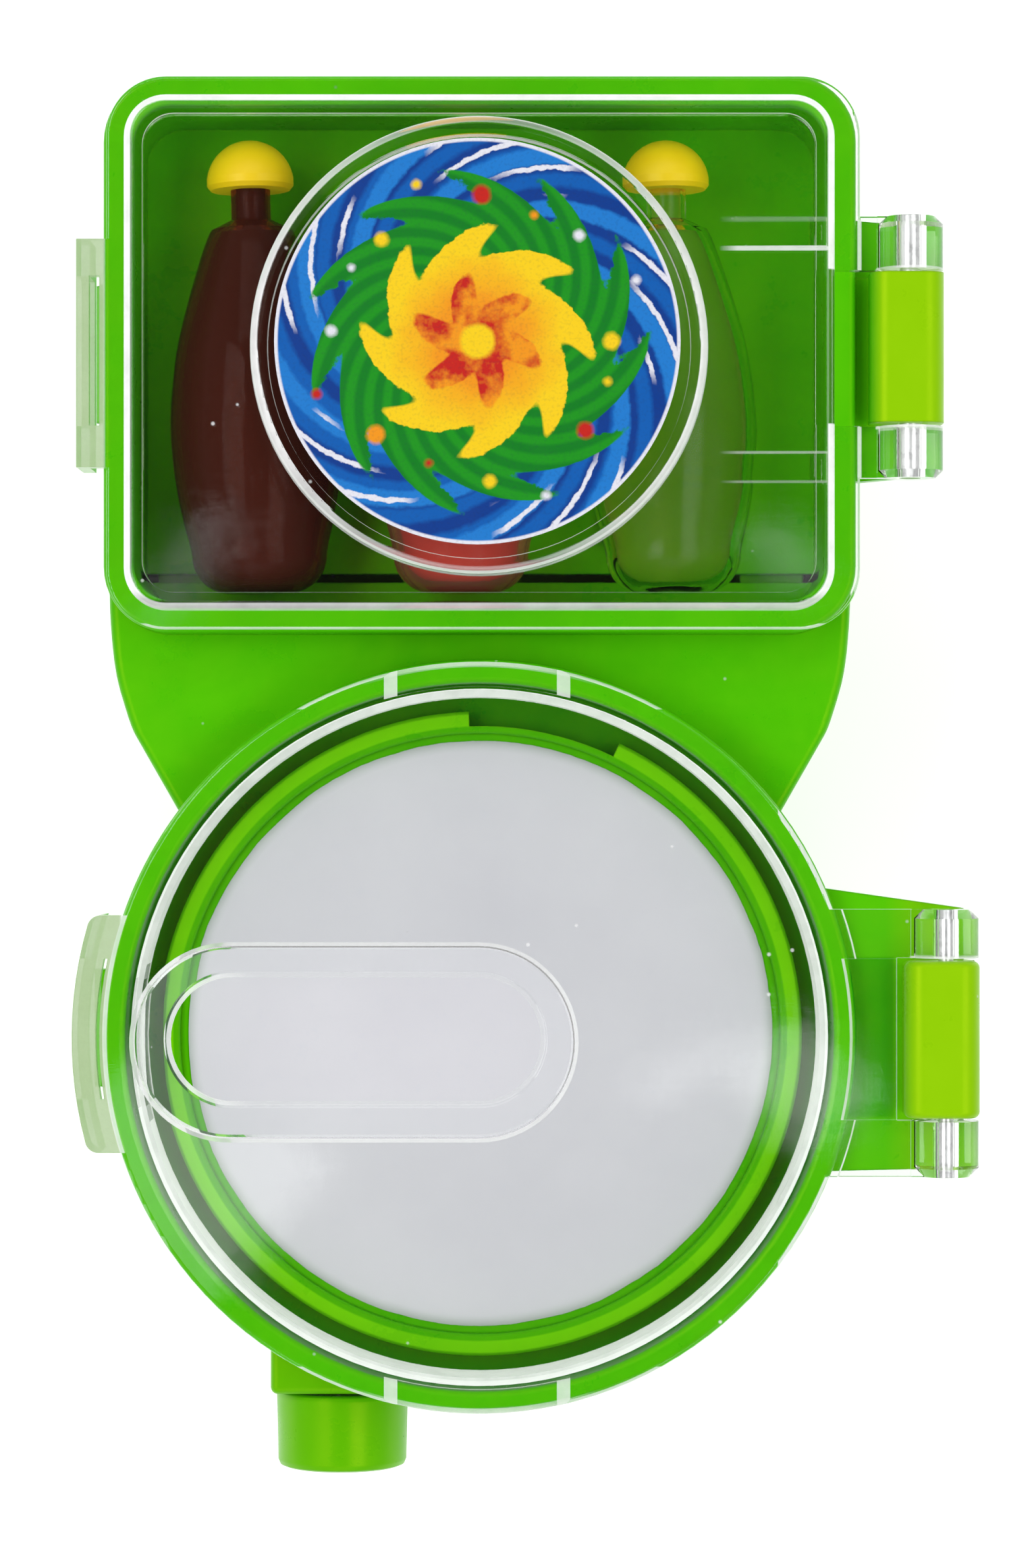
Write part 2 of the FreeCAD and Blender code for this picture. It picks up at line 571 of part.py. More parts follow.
# the notch goes right through the rim, so the channel shows in it
notch_ring = cut("notch_ring", cyl("notch_outer", (0, 0, S.tray_low - 0.5), 23.0, 3.0),
                 [cyl("notch_inner", (0, 0, S.tray_low - 1.0), 20.95, 4.0)])
notch = common("notch", [notch_ring, poly_prism("notch_wedge", [(0.0, 0.0), (30 * math.cos(math.radians(64.3)), 30 * math.sin(math.radians(64.3))),
                                                               (30 * math.cos(math.radians(92)), 30 * math.sin(math.radians(92)))],
                                                S.tray_low - 0.4, S.tray_rim + 2.0)])
node("turntable", cut("turntable_cut", turntable, [notch]))

paper = body_of("paper_disc")
s = sketch_on(paper, "paper_circle", "XY_Plane", S.tray_floor)
add_circle(s, 0, 0, S.paper_rad)
pad(paper, "paper_pad", s, S.paper_thick)
node("paper_disc", paper)

# ---- gears ----------------------------------------------------------------


def involute_gear(teeth, module, tip, root, play, bore, low, high, turn=0.0, press=20.0):
    """Straight involute spur gear about Z, one tooth centred on angle turn (radians)."""
    pitch = teeth * module / 2.0
    base = pitch * math.cos(math.radians(press))
    inv = math.tan(math.radians(press)) - math.radians(press)
    half = math.pi / (2 * teeth) - play / (2 * pitch)

    def flank(rad):
        if rad <= base:
            return half + inv
        a = math.acos(base / rad)
        return half + inv - (math.tan(a) - a)

    start = max(base, root)
    radii = [start + (tip - start) * k / 4.0 for k in range(5)]
    edge = []
    for t in range(teeth):
        mid = turn + 2 * math.pi * t / teeth
        nxt = mid + 2 * math.pi / teeth
        if root < start:
            edge.append((root, mid - flank(start)))
        edge += [(r, mid - flank(r)) for r in radii]
        edge += [(r, mid + flank(r)) for r in reversed(radii)]
        if root < start:
            edge.append((root, mid + flank(start)))
    points = [Vector(r * math.cos(a), r * math.sin(a), low) for r, a in edge]
    face = Part.Face(Part.makePolygon(points + [points[0]]))
    solid = face.extrude(Vector(0, 0, high - low))
    return solid.cut(Part.makeCylinder(bore, high - low + 2, Vector(0, 0, low - 1)))


def feature(label, shape, at=(0, 0, 0), axis="z"):
    obj = doc.addObject("Part::Feature", label)
    obj.Shape = shape
    place(obj, at, axis)
    return node(label, obj)


m_spur = sheet.spur_module
m_face = sheet.face_module
n_crank = int(sheet.crank_teeth)
n_lay = int(sheet.lay_teeth)
n_crown = int(sheet.crown_teeth)
n_spin = int(sheet.spindle_teeth)
r_crank = n_crank * m_spur / 2
r_lay = n_lay * m_spur / 2

# Both gears of the crank pair stand on axes along Y. Local Z is turned to +Y, and local X stays +X.
# The line of centres points along +X, so the crank gear shows a tooth there and the pinion a gap.
crank_gear = involute_gear(n_crank, m_spur, r_crank + 0.35, r_crank - 0.62, 0.14, sheet.crank_shaft_rad, 0.0, 2.8)
hub = Part.makeCylinder(2.7, 1.9, Vector(0, 0, 2.8)).cut(Part.makeCylinder(sheet.crank_shaft_rad, 3, Vector(0, 0, 2.5)))
web = Part.makeCylinder(5.6, 0.7, Vector(0, 0, -0.0)).cut(Part.makeCylinder(3.0, 0.7))
crank_gear = crank_gear.cut(web).fuse(hub).removeSplitter()
feature("crank_gear", crank_gear, (S.crank_x, -14.6, S.crank_level), "y")

lay_pinion = involute_gear(n_lay, m_spur, r_lay + 0.42, r_lay - 0.6, 0.14, sheet.lay_rad, 0.0, 3.8,
                           turn=math.pi + math.pi / n_lay)
feature("layshaft_pinion", lay_pinion, (0, -15.2, S.crank_level), "y")

# crown gear: teeth stand on the +Y face of a disc, the top one centred on +Z
disc = Part.makeCylinder(6.7, 1.9).fuse(Part.makeCylinder(2.5, 1.8, Vector(0, 0, -1.8)))
ring_out = 6.7
teeth_list = []
for k in range(n_crown):
    a = math.degrees(2 * math.pi * k / n_crown)
    profile = [(-0.44, 0.0), (0.44, 0.0), (0.22, 1.0), (-0.22, 1.0)]
    pts = [Vector(5.3, p, 1.9 - 0.1 + q) if q == 0 else Vector(5.3, p, 1.9 + q) for p, q in profile]
    tooth = Part.Face(Part.makePolygon(pts + [pts[0]])).extrude(Vector(1.4, 0, 0))
    tooth.rotate(Vector(0, 0, 0), Vector(0, 0, 1), a)
    teeth_list.append(tooth)
crown = disc
for tooth in teeth_list:
    crown = crown.fuse(tooth)
crown = crown.common(Part.makeCylinder(ring_out, 8, Vector(0, 0, -3)))
crown = crown.cut(Part.makeCylinder(sheet.lay_rad, 10, Vector(0, 0, -4))).removeSplitter()
# local Z is +Y and local -Y is +Z, so a tooth at local angle -90 degrees is at the top
feature("crown_gear", crown, (0, -5.6, S.crank_level), "y")

r_spin = n_spin * m_face / 2
spin_pinion = involute_gear(n_spin, m_face, r_spin + 0.42, r_spin - 0.72, 0.16, sheet.spindle_rad, 15.8, 20.6,
                            turn=-math.pi / 2 + math.pi / n_spin)
feature("spindle_pinion", spin_pinion)

node("layshaft", turned("layshaft", [(0, -18.5), (0.8, -18.5), (S.lay_rad, -18.3), (S.lay_rad, -3.1), (0, -3.1)],
                        (0, 0, S.crank_level), "y"))

# ---- crank ----------------------------------------------------------------
node("crank_shaft", cut("crank_shaft_cut",
                        cyl("crank_shaft_bar", (S.crank_x, -24.0, S.crank_level), S.crank_shaft_rad, 17.2, "y"),
                        [cyl("crank_shaft_tap", (S.crank_x, -24.5, S.crank_level), 0.75, 5.5, "y")]))

arm_half = S.arm_wide / 2
arm_front = S.arm_back + S.arm_thick
arm_bar = box("arm_bar", S.crank_x - arm_half, S.crank_x + arm_half, -1.0 * arm_front, -1.0 * S.arm_back,
              S.crank_level, S.crank_level + S.arm_top)
arm_foot = cyl("arm_foot", (S.crank_x, -1.0 * arm_front, S.crank_level), arm_half, S.arm_thick, "y")
arm_rough = fuse("arm_rough", [arm_bar, arm_foot])
arm_round = round_edges("arm_round", arm_rough, S.edge_round,
                        lambda bb, e: (bb.YLength < 1e-4 and (abs(bb.YMin + 25.3) < 1e-3 or abs(bb.YMin + 20.6) < 1e-3))
                        or (bb.YLength > 4 and bb.ZMin > 22.0))
node("crank_arm", cut("crank_arm_cut", arm_round, [
    cyl("arm_bore", (S.crank_x, -24.0, S.crank_level), S.crank_shaft_rad, 6.0, "y"),
    cyl("arm_sink", (S.crank_x, -26.0, S.crank_level), 2.1, 2.0, "y"),
    cyl("arm_pin_hole", (S.crank_x, -26.0, S.crank_level + S.throw), S.grip_pin_rad, 4.6, "y")]))
crank_screw_turn = turned("crank_screw_turned", [(0, 0.0), (1.5, 0.0), (1.9, 0.45), (1.9, 0.95), (0.72, 0.95), (0.72, 4.9), (0, 5.6)],
                          (S.crank_x, -25.0, S.crank_level), "y")
node("crank_screw", cut("crank_screw_cut", crank_screw_turn, [
    box("crank_slot_a", S.crank_x - 1.1, S.crank_x + 1.1, -25.4, -24.6, S.crank_level - 0.2, S.crank_level + 0.2),
    box("crank_slot_b", S.crank_x - 0.2, S.crank_x + 0.2, -25.4, -24.6, S.crank_level - 1.1, S.crank_level + 1.1)]))

grip_z = S.crank_level + S.throw
node("grip_pin", turned("grip_pin", [(0, -30.55), (1.7, -30.55), (2.0, -30.25), (2.0, -29.75), (S.grip_pin_rad, -29.75),
                                     (S.grip_pin_rad, -21.4), (0, -21.4)], (S.crank_x, 0, grip_z), "y"))
grip_turn = turned("grip_turned", [(S.grip_bore, -29.6), (2.3, -29.6), (2.3, -30.8), (S.grip_end_rad - 0.45, -30.8),
                                   (S.grip_end_rad - 0.13, -30.67), (S.grip_end_rad, -30.35),
                                   (S.grip_rad, -25.85), (S.grip_rad - 0.1, -25.6), (S.grip_rad - 0.35, -25.5), (S.grip_bore, -25.5)],
                   (S.crank_x, 0, grip_z), "y")
node("crank_grip", grip_turn)

# ---- round lid ------------------------------------------------------------
top = S.rim_level + S.lid_thick
lid_disc = round_edges("lid_disc", cyl("lid_disc_raw", (0, 0, S.rim_level), S.rlid_rad, S.lid_thick), 0.3,
                       lambda bb, e: bb.ZLength < 1e-4 and bb.ZMin > S.rim_level.value + 0.5)
skirt = cut("skirt", cyl("skirt_out_c", (0, 0, S.skirt_low), S.skirt_out, S.rim_level + 0.3 - S.skirt_low),
            [cyl("skirt_in_c", (0, 0, S.skirt_low - 1.0), S.skirt_in, 8.0)])


def funnel(name, low_rad, top_rad, low, high):
    """A sloped oblong: two cones and the tapered bar between them."""
    a = cone(name + "_a", (S.slot_left, S.slot_y, low), low_rad, top_rad, high - low)
    b = cone(name + "_b", (S.slot_right, S.slot_y, low), low_rad, top_rad, high - low)
    w = body_of(name + "_bar")
    s = sketch_on(w, name + "_bar_section", "YZ_Plane", S.slot_left)
    add_poly(s, [(S.slot_y - low_rad, low), (S.slot_y + low_rad, low), (S.slot_y + top_rad, high), (S.slot_y - top_rad, high)])
    pad(w, name + "_bar_pad", s, S.slot_right - S.slot_left)
    return fuse(name, [a, w, b])


slope = (S.slot_top_rad - S.slot_low_rad) / (top - S.slot_low)
funnel_out = funnel("funnel_out", S.slot_low_rad + S.slot_skin, S.slot_top_rad + S.slot_skin, S.slot_low, top)
funnel_in = funnel("funnel_in", S.slot_low_rad - slope * 0.5, S.slot_top_rad + slope * 0.5, S.slot_low - 0.5, top + 0.5)
lid_web = box("lid_web", 20.0, 28.0, -9.3, 8.6, S.rim_level, top)
lug_arm_hi = box("lug_arm_hi", 27.0, S.chamber_pin_x, 5.35, 8.6, S.rim_level, top)
lug_arm_lo = box("lug_arm_lo", 27.0, S.chamber_pin_x, -9.3, -5.55, S.rim_level, top)
lug_hi = turned("lug_hi", [(0, 0), (S.knuckle_rad, 0), (S.knuckle_rad, 2.65), (S.knuckle_rad - 0.6, 3.25), (0, 3.25)],
                (S.chamber_pin_x, 5.35, S.hinge_level), "y")
lug_lo = turned("lug_lo", [(0, 0), (S.knuckle_rad - 0.6, 0), (S.knuckle_rad, 0.6), (S.knuckle_rad, 3.75), (0, 3.75)],
                (S.chamber_pin_x, -9.3, S.hinge_level), "y")
# latch tab: part of a ring, with the strap hanging from its outer edge
tab_ring = cyl("tab_ring", (0, 0, 27.5), 27.3, top - 27.5)
tab_sharp = common("tab_sharp", [tab_ring, box("tab_field", -29.0, -22.0, -7.7, 8.2, 27.5, top)])
tab_full = round_edges("tab_full", tab_sharp, 0.9, lambda bb, e: bb.ZLength > 1 and bb.YLength < 1e-3 and bb.XMax < -25.0)
lid_tab = common("lid_tab", [tab_full, box("tab_level", -29.0, -21.0, -9.0, 9.0, S.rim_level, top)])
lid_strap = cut("lid_strap", tab_full, [cyl("strap_inner", (0, 0, 27.0), 26.6, 8.0)])
lid_round_raw = fuse("round_lid_raw", [lid_disc, skirt, funnel_out, lid_web, lug_arm_hi, lug_arm_lo, lug_hi, lug_lo,
                                       lid_tab, lid_strap])
tab_window = cut("tab_window", box("tab_window_raw", -26.8, -24.5, -4.15, 5.3, S.rim_level - 1.0, top + 1.0),
                 [cyl("tab_window_in", (0, 0, 25.0), 25.45, 12.0)])
tab_window = common("tab_window_arc", [tab_window, cyl("tab_window_out", (0, 0, 25.0), 25.7, 12.0)])
# shallow finger flats at the front and back of the rim, with sloping ends
flat_prism = side_prism("flat_prism", [(-6.5, top + 0.05), (-5.5, top - 0.4), (5.2, top - 0.4), (6.2, top + 0.05)], -27.0, 27.0)
finger_flats = cut("finger_flats", flat_prism, [cyl("flat_inner", (0, 0, 30.0), S.skirt_out + 0.15, 6.0)])
# the hinge plate and its arms lie a step lower than the disc, the step slopes
plate_step = cut("plate_step", box("plate_step_raw", 22.0, 28.6, -5.5, 5.3, top - 0.35, top + 0.05),
                 [cone("plate_edge", (0, 0, top - 0.4), S.step_rad + 0.05, S.step_rad - 0.25, 0.5)])
arm_step_hi = cut("arm_step_hi", box("arm_step_hi_raw", 22.0, 28.9, 5.25, 9.6, top - 0.2, top + 0.05),
                  [cone("arm_edge_hi", (0, 0, top - 0.25), S.step_rad + 0.85, S.step_rad + 0.6, 0.4)])
arm_step_lo = cut("arm_step_lo", box("arm_step_lo_raw", 22.0, 28.9, -9.6, -5.45, top - 0.2, top + 0.05),
                  [cone("arm_edge_lo", (0, 0, top - 0.25), S.step_rad + 0.85, S.step_rad + 0.6, 0.4)])
lid_cuts = [funnel_in,
            tab_window,
            box("strap_window", -28.0, -25.5, -4.15, 5.3, 28.8, top - 0.9),
            cyl("lug_bore_round", (S.chamber_pin_x, -10.0, S.hinge_level), S.round_lug_bore, 20.0, "y"),
            funnel("funnel_lip", S.slot_top_rad - 0.05, S.slot_top_rad + 0.25, top - 0.25, top + 0.05),
            finger_flats, plate_step, arm_step_hi, arm_step_lo]
node("round_lid", cut("round_lid_cut", lid_round_raw, lid_cuts))

# ---- storage lid ----------------------------------------------------------
flange = round_edges("slid_flange", box("slid_flange_raw", S.slid_left, S.slid_right, S.slid_front, S.slid_back, S.rim_level, top),
                     4.0, lambda bb, e: bb.ZLength > 1 and bb.XLength < 1e-4)
flange = round_edges("slid_flange_soft", flange, 0.2,
                     lambda bb, e: bb.ZLength < 1e-4 and bb.ZMin > S.rim_level.value + 0.5)
raised = round_edges("slid_raised", box("slid_raised_raw", -1.0 * S.raise_half, S.raise_half, S.raise_front, S.raise_back,
                                        S.rim_level, S.raise_level), 2.8, lambda bb, e: bb.ZLength > 1 and bb.XLength < 1e-4)
raised_soft = round_edges("slid_raised_soft", raised, 0.62,
                          lambda bb, e: bb.ZLength < 1e-4 and bb.ZMin > S.raise_level.value - 0.01)
boss_raw = cone("boss_raw", (0, S.boss_y, S.raise_level - 0.5), S.boss_rad, S.boss_rad - 0.15, S.boss_level - S.raise_level + 0.5)
boss = round_edges("boss", boss_raw, 0.58, lambda bb, e: bb.ZLength < 1e-4 and bb.ZMin > S.boss_level.value - 0.01)
gap_cut = box("gap_cut", 23.75, 29.0, 40.95, 51.4, S.rim_level - 0.5, top + 0.2)
slug_arm_hi = box("slug_arm_hi", 24.0, S.store_pin_x, 51.4, 55.0, S.rim_level, top)
slug_arm_lo = box("slug_arm_lo", 24.0, S.store_pin_x, 37.5, 40.95, S.rim_level, top)
slug_hi = turned("slug_hi", [(0, 0), (S.knuckle_rad, 0), (S.knuckle_rad, 3.1), (S.knuckle_rad - 0.5, 3.6), (0, 3.6)],
                 (S.store_pin_x, 51.4, S.hinge_level), "y")
slug_lo = turned("slug_lo", [(0, 0), (S.knuckle_rad - 0.5, 0), (S.knuckle_rad, 0.5), (S.knuckle_rad, 3.45), (0, 3.45)],
                 (S.store_pin_x, 37.5, S.hinge_level), "y")
s_tab = box("s_tab", -27.0, -23.6, 38.2, 53.5, S.rim_level, top)
s_strap = box("s_strap", -27.0, -26.15, 38.2, 53.5, 27.5, top)
flange_cut = cut("slid_flange_cut", flange, [gap_cut])
# two low ribs that run out to nothing towards the boss
ribs = [side_prism("slid_rib_%d" % i, [(15.6, S.raise_level - 0.2), (15.6, S.raise_level - 0.02), (23.1, S.raise_level + 0.25),
                                       (23.2, S.raise_level - 0.2)], y, y + 2.0)
        for i, y in enumerate((52.7, 37.1))]
# the hinge arms lie a small step lower than the flange, the step slopes
slug_steps = [side_prism("slug_step_%d" % i, [(25.3, top + 0.05), (25.55, top - 0.2), (26.65, top - 0.2), (26.65, top + 0.05)], y0, y1)
              for i, (y0, y1) in enumerate(((51.3, 55.1), (37.4, 41.05)))]
slid_raw = fuse("slid_raw", [flange_cut, raised_soft, boss, slug_arm_hi, slug_arm_lo, slug_hi, slug_lo, s_tab, s_strap] + ribs)
inner = round_edges("slid_inner", box("slid_inner_raw", S.lid_thick - S.raise_half, S.raise_half - S.lid_thick,
                                      S.raise_front + S.lid_thick, S.raise_back - S.lid_thick, S.rim_level - 1.0,
                                      S.raise_level - S.lid_thick), 2.1, lambda bb, e: bb.ZLength > 1 and bb.XLength < 1e-4)
boss_inner = cyl("boss_inner", (0, S.boss_y, S.rim_level), S.boss_rad - S.lid_thick, S.boss_level - S.lid_thick - S.rim_level)
node("storage_lid", cut("storage_lid_cut", slid_raw, [
    inner, boss_inner,
    box("s_tab_window", -26.15, -25.45, 41.0, 51.05, S.rim_level - 1.0, top + 1.0),
    box("s_strap_window", -28.0, -25.8, 41.0, 51.05, 28.8, top - 0.9),
    cyl("lug_bore_store", (S.store_pin_x, 36.0, S.hinge_level), S.lug_bore, 20.0, "y")] + slug_steps))

label = body_of("label")
s = sketch_on(label, "label_circle", "XY_Plane", S.boss_level)
add_circle(s, -0.1, S.boss_y + 0.2, S.label_rad)
pad(label, "label_pad", s, S.label_thick)
node("label", label)

# ---- paint bottles --------------------------------------------------------


def turned_bottle(shrink, neck_rad, neck_top):
    """Outer or inner shape of the bottle: a rounded foot, a belly that narrows both ways, and a straight neck."""
    foot = 4.6 - shrink
    base = shrink
    corner = 2.6 - shrink * 0.6
    belly = [(foot, base + corner), (4.87 - shrink, 3.9 + shrink * 0.5), (5.41 - shrink, 6.4), (5.73 - shrink, 8.9),
             (5.85 - shrink, 11.6), (5.71 - shrink, 13.7), (5.25 - shrink, 16.9), (4.5 - shrink, 19.8),
             (3.6 - shrink, 22.7), (2.75 - shrink * 0.9, 24.8 - shrink * 0.4)]
    a = Part.LineSegment(Vector(0, 0, base), Vector(foot - corner, 0, base)).toShape()
    mid = Vector(foot - corner + corner * math.sin(math.pi / 4), 0, base + corner - corner * math.cos(math.pi / 4))
    b = Part.Arc(Vector(foot - corner, 0, base), mid, Vector(foot, 0, base + corner)).toShape()
    curve = Part.BSplineCurve()
    curve.interpolate([Vector(x, 0, z) for x, z in belly], InitialTangent=Vector(0.1, 0, 1),
                      FinalTangent=Vector(-0.5, 0, 0.85))
    d = curve.toShape()
    end = belly[-1]
    e = Part.LineSegment(Vector(end[0], 0, end[1]), Vector(neck_rad, 0, end[1] + 0.7)).toShape()
    f = Part.LineSegment(Vector(neck_rad, 0, end[1] + 0.7), Vector(neck_rad, 0, neck_top)).toShape()
    g = Part.LineSegment(Vector(neck_rad, 0, neck_top), Vector(0, 0, neck_top)).toShape()
    h = Part.LineSegment(Vector(0, 0, neck_top), Vector(0, 0, base)).toShape()
    wire = Part.Wire([a, b, d, e, f, g, h])
    return Part.Face(wire).revolve(Vector(0, 0, 0), Vector(0, 0, 1), 360)


BOTTLE_Z = 5.88
# the cap's dome is part of a ball whose centre lies on the bottle's axis
DOME_R = (2.95 ** 2 + 2.6 ** 2) / (2 * 2.6)
DOME_Z = 30.9 - DOME_R
# the outer two bottles lie a little askew
for side, bx, by, askew in (("left", -14.97, 29.98, 1.45), ("middle", -1.3, 30.0, 0.0), ("right", 13.25, 29.98, 1.2)):
    outer = turned_bottle(0.0, 1.35, 28.9)
    inner_void = turned_bottle(0.7, 1.02, 29.5)
    # domed screw cap with a socket for the neck
    skirt_part = Part.makeCone(2.7, 2.95, 0.3, Vector(0, 0, 27.5)).fuse(Part.makeCylinder(2.95, 0.5, Vector(0, 0, 27.8)))
    dome = Part.makeSphere(DOME_R, Vector(0, 0, DOME_Z)).common(Part.makeCylinder(4.0, 4.0, Vector(0, 0, 28.3)))
    cap = skirt_part.fuse(dome).cut(Part.makeCylinder(1.37, 1.5, Vector(0, 0, 27.5))).removeSplitter()
    for kind, shape in (("bottle_", outer.cut(inner_void)), ("paint_", turned_bottle(0.72, 1.0, 28.5)), ("cap_", cap)):
        piece = feature(kind + side, shape, (bx, by, S.store_floor + BOTTLE_Z), "y")
        piece.Placement = Placement(piece.Placement.Base, Rotation(Vector(0, 0, 1), askew).multiply(TURN["y"]))

# ---- check and write ------------------------------------------------------
doc.recompute()
for obj in doc.Objects:
    if "Invalid" in obj.State or "Error" in obj.State:
        print("BAD", obj.Name, obj.TypeId)
        raise RuntimeError("%s (%s): %s" % (obj.Name, obj.Label, obj.State))
labels = [o.Label for o in nodes]
if len(set(labels)) != len(labels):
    raise RuntimeError("labels repeat")
os.makedirs("parts", exist_ok=True)
for obj in nodes:
    shape = obj.Shape
    if shape.isNull() or not shape.isValid():
        raise RuntimeError("bad shape: " + obj.Label)
    bb = shape.BoundBox
    print("%-18s solids %d vol %9.3f  x %.2f..%.2f y %.2f..%.2f z %.2f..%.2f" % (
        obj.Label, len(shape.Solids), shape.Volume, bb.XMin, bb.XMax, bb.YMin, bb.YMax, bb.ZMin, bb.ZMax))
    shape.exportStep("parts/%s.step" % obj.Label)
print("nodes", len(nodes))
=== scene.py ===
import math

import bmesh
import bpy
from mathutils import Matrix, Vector, noise


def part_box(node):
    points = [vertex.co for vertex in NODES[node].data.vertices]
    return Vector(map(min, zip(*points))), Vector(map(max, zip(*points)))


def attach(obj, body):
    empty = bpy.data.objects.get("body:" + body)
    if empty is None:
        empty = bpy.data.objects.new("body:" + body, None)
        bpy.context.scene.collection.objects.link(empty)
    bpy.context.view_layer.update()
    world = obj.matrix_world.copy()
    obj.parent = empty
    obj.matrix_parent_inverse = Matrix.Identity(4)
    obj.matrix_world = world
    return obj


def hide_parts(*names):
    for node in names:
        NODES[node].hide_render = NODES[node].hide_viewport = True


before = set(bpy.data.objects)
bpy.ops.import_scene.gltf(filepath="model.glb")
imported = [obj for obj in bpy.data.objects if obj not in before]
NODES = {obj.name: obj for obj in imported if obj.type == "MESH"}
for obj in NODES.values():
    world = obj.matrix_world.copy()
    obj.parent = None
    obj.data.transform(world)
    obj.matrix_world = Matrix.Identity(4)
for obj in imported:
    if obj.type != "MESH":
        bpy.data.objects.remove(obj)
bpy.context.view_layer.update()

scene = bpy.context.scene
MM = 0.001


# ---------------------------------------------------------------------------
# node helpers
# ---------------------------------------------------------------------------
class Tree:
    """A short way to write a material's nodes."""

    def __init__(self, name):
        self.mat = bpy.data.materials.new(name)
        self.mat.use_nodes = True
        self.t = self.mat.node_tree
        self.t.nodes.clear()
        self.out = self.t.nodes.new("ShaderNodeOutputMaterial")
        self._coords = None
        self._xyz = None

    def node(self, kind, **props):
        n = self.t.nodes.new(kind)
        for k, v in props.items():
            setattr(n, k, v)
        return n

    def link(self, a, b):
        self.t.links.new(a, b)

    def put(self, socket, value):
        if isinstance(value, bpy.types.NodeSocket):
            self.link(value, socket)
        else:
            socket.default_value = value

    def math(self, op, a, b=None, c=None, clamp=False):
        n = self.node("ShaderNodeMath", operation=op, use_clamp=clamp)
        for i, v in enumerate((a, b, c)):
            if v is not None:
                self.put(n.inputs[i], v)
        return n.outputs[0]

    def coords(self):
        if self._coords is None:
            self._coords = self.node("ShaderNodeTexCoord")
        return self._coords.outputs["Object"]

    def xyz(self):
        """Place in millimetres, at rest."""
        if self._xyz is None:
            n = self.node("ShaderNodeSeparateXYZ")
            self.link(self.coords(), n.inputs[0])
            self._xyz = [self.math("MULTIPLY", n.outputs[i], 1000.0) for i in range(3)]
        return self._xyz

    def facing_up(self):
        """1 on flat tops and undersides, 0 on upright walls."""
        self.coords()
        n = self.node("ShaderNodeSeparateXYZ")
        self.link(self._coords.outputs["Normal"], n.inputs[0])
        return self.math("ABSOLUTE", n.outputs[2])

    def noise(self, scale, detail=3.0, rough=0.5, vec=None, distort=0.0):
        n = self.node("ShaderNodeTexNoise")
        n.inputs["Scale"].default_value = scale
        n.inputs["Detail"].default_value = detail
        n.inputs["Roughness"].default_value = rough
        n.inputs["Distortion"].default_value = distort
        self.link(vec if vec is not None else self.coords(), n.inputs["Vector"])
        return n.outputs["Fac"]

    def stretch(self, sx, sy, sz):
        n = self.node("ShaderNodeMapping")
        n.inputs["Scale"].default_value = (sx, sy, sz)
        self.link(self.coords(), n.inputs["Vector"])
        return n.outputs["Vector"]

    def specks(self, scale, size, share):
        """Small separate grains: 1 inside a grain. share of the cells have one."""
        v = self.node("ShaderNodeTexVoronoi")
        v.inputs["Scale"].default_value = scale
        self.link(self.coords(), v.inputs["Vector"])
        near = self.below(v.outputs["Distance"], size, size * 0.4)
        sep = self.node("ShaderNodeSeparateColor")
        self.link(v.outputs["Color"], sep.inputs[0])
        return self.math("MULTIPLY", near, self.math("LESS_THAN", sep.outputs[0], share))

    def range(self, fac, a, b, lo=0.0, hi=1.0, clamp=True):
        n = self.node("ShaderNodeMapRange", clamp=clamp)
        for i, v in enumerate((fac, lo, hi, a, b)):
            self.put(n.inputs[i], v)
        return n.outputs[0]

    def above(self, v, edge, soft=0.01):
        if isinstance(edge, bpy.types.NodeSocket):
            v, edge = self.math("SUBTRACT", v, edge), 0.0
        return self.range(v, 0.0, 1.0, edge - soft, edge + soft)

    def below(self, v, edge, soft=0.01):
        return self.inverse(self.above(v, edge, soft))

    def within(self, v, lo, hi, soft=0.02):
        return self.math("MULTIPLY", self.above(v, lo, soft), self.below(v, hi, soft))

    def both(self, *masks):
        out = masks[0]
        for m in masks[1:]:
            out = self.math("MULTIPLY", out, m)
        return out

    def either(self, *masks):
        out = masks[0]
        for m in masks[1:]:
            out = self.math("MAXIMUM", out, m)
        return out

    def inverse(self, v):
        return self.math("SUBTRACT", 1.0, v)

    def radius(self, cx=0.0, cy=0.0):
        x, y, _ = self.xyz()
        dx = self.math("SUBTRACT", x, cx)
        dy = self.math("SUBTRACT", y, cy)
        return self.math("SQRT", self.math("ADD", self.math("MULTIPLY", dx, dx), self.math("MULTIPLY", dy, dy)))

    def mix(self, fac, a, b):
        n = self.node("ShaderNodeMix", data_type="RGBA")
        self.put(n.inputs[0], fac)
        for s, v in ((n.inputs[6], a), (n.inputs[7], b)):
            if isinstance(v, bpy.types.NodeSocket):
                self.link(v, s)
            else:
                s.default_value = v if len(v) == 4 else (*v, 1.0)
        return n.outputs[2]

    def bump(self, height, strength, distance, normal=None):
        n = self.node("ShaderNodeBump")
        n.inputs["Strength"].default_value = strength
        n.inputs["Distance"].default_value = distance
        self.link(height, n.inputs["Height"])
        if normal is not None:
            self.link(normal, n.inputs["Normal"])
        return n.outputs["Normal"]

    def principled(self, **values):
        n = self.node("ShaderNodeBsdfPrincipled")
        for k, v in values.items():
            s = n.inputs[k.replace("_", " ")]
            if isinstance(v, bpy.types.NodeSocket):
                self.link(v, s)
            elif isinstance(v, tuple) and len(v) == 3 and s.type == "RGBA":
                s.default_value = (*v, 1.0)
            else:
                s.default_value = v
        return n

    def mix_shader(self, fac, a, b):
        m = self.node("ShaderNodeMixShader")
        self.put(m.inputs[0], fac)
        self.link(a, m.inputs[1])
        self.link(b, m.inputs[2])
        return m.outputs[0]

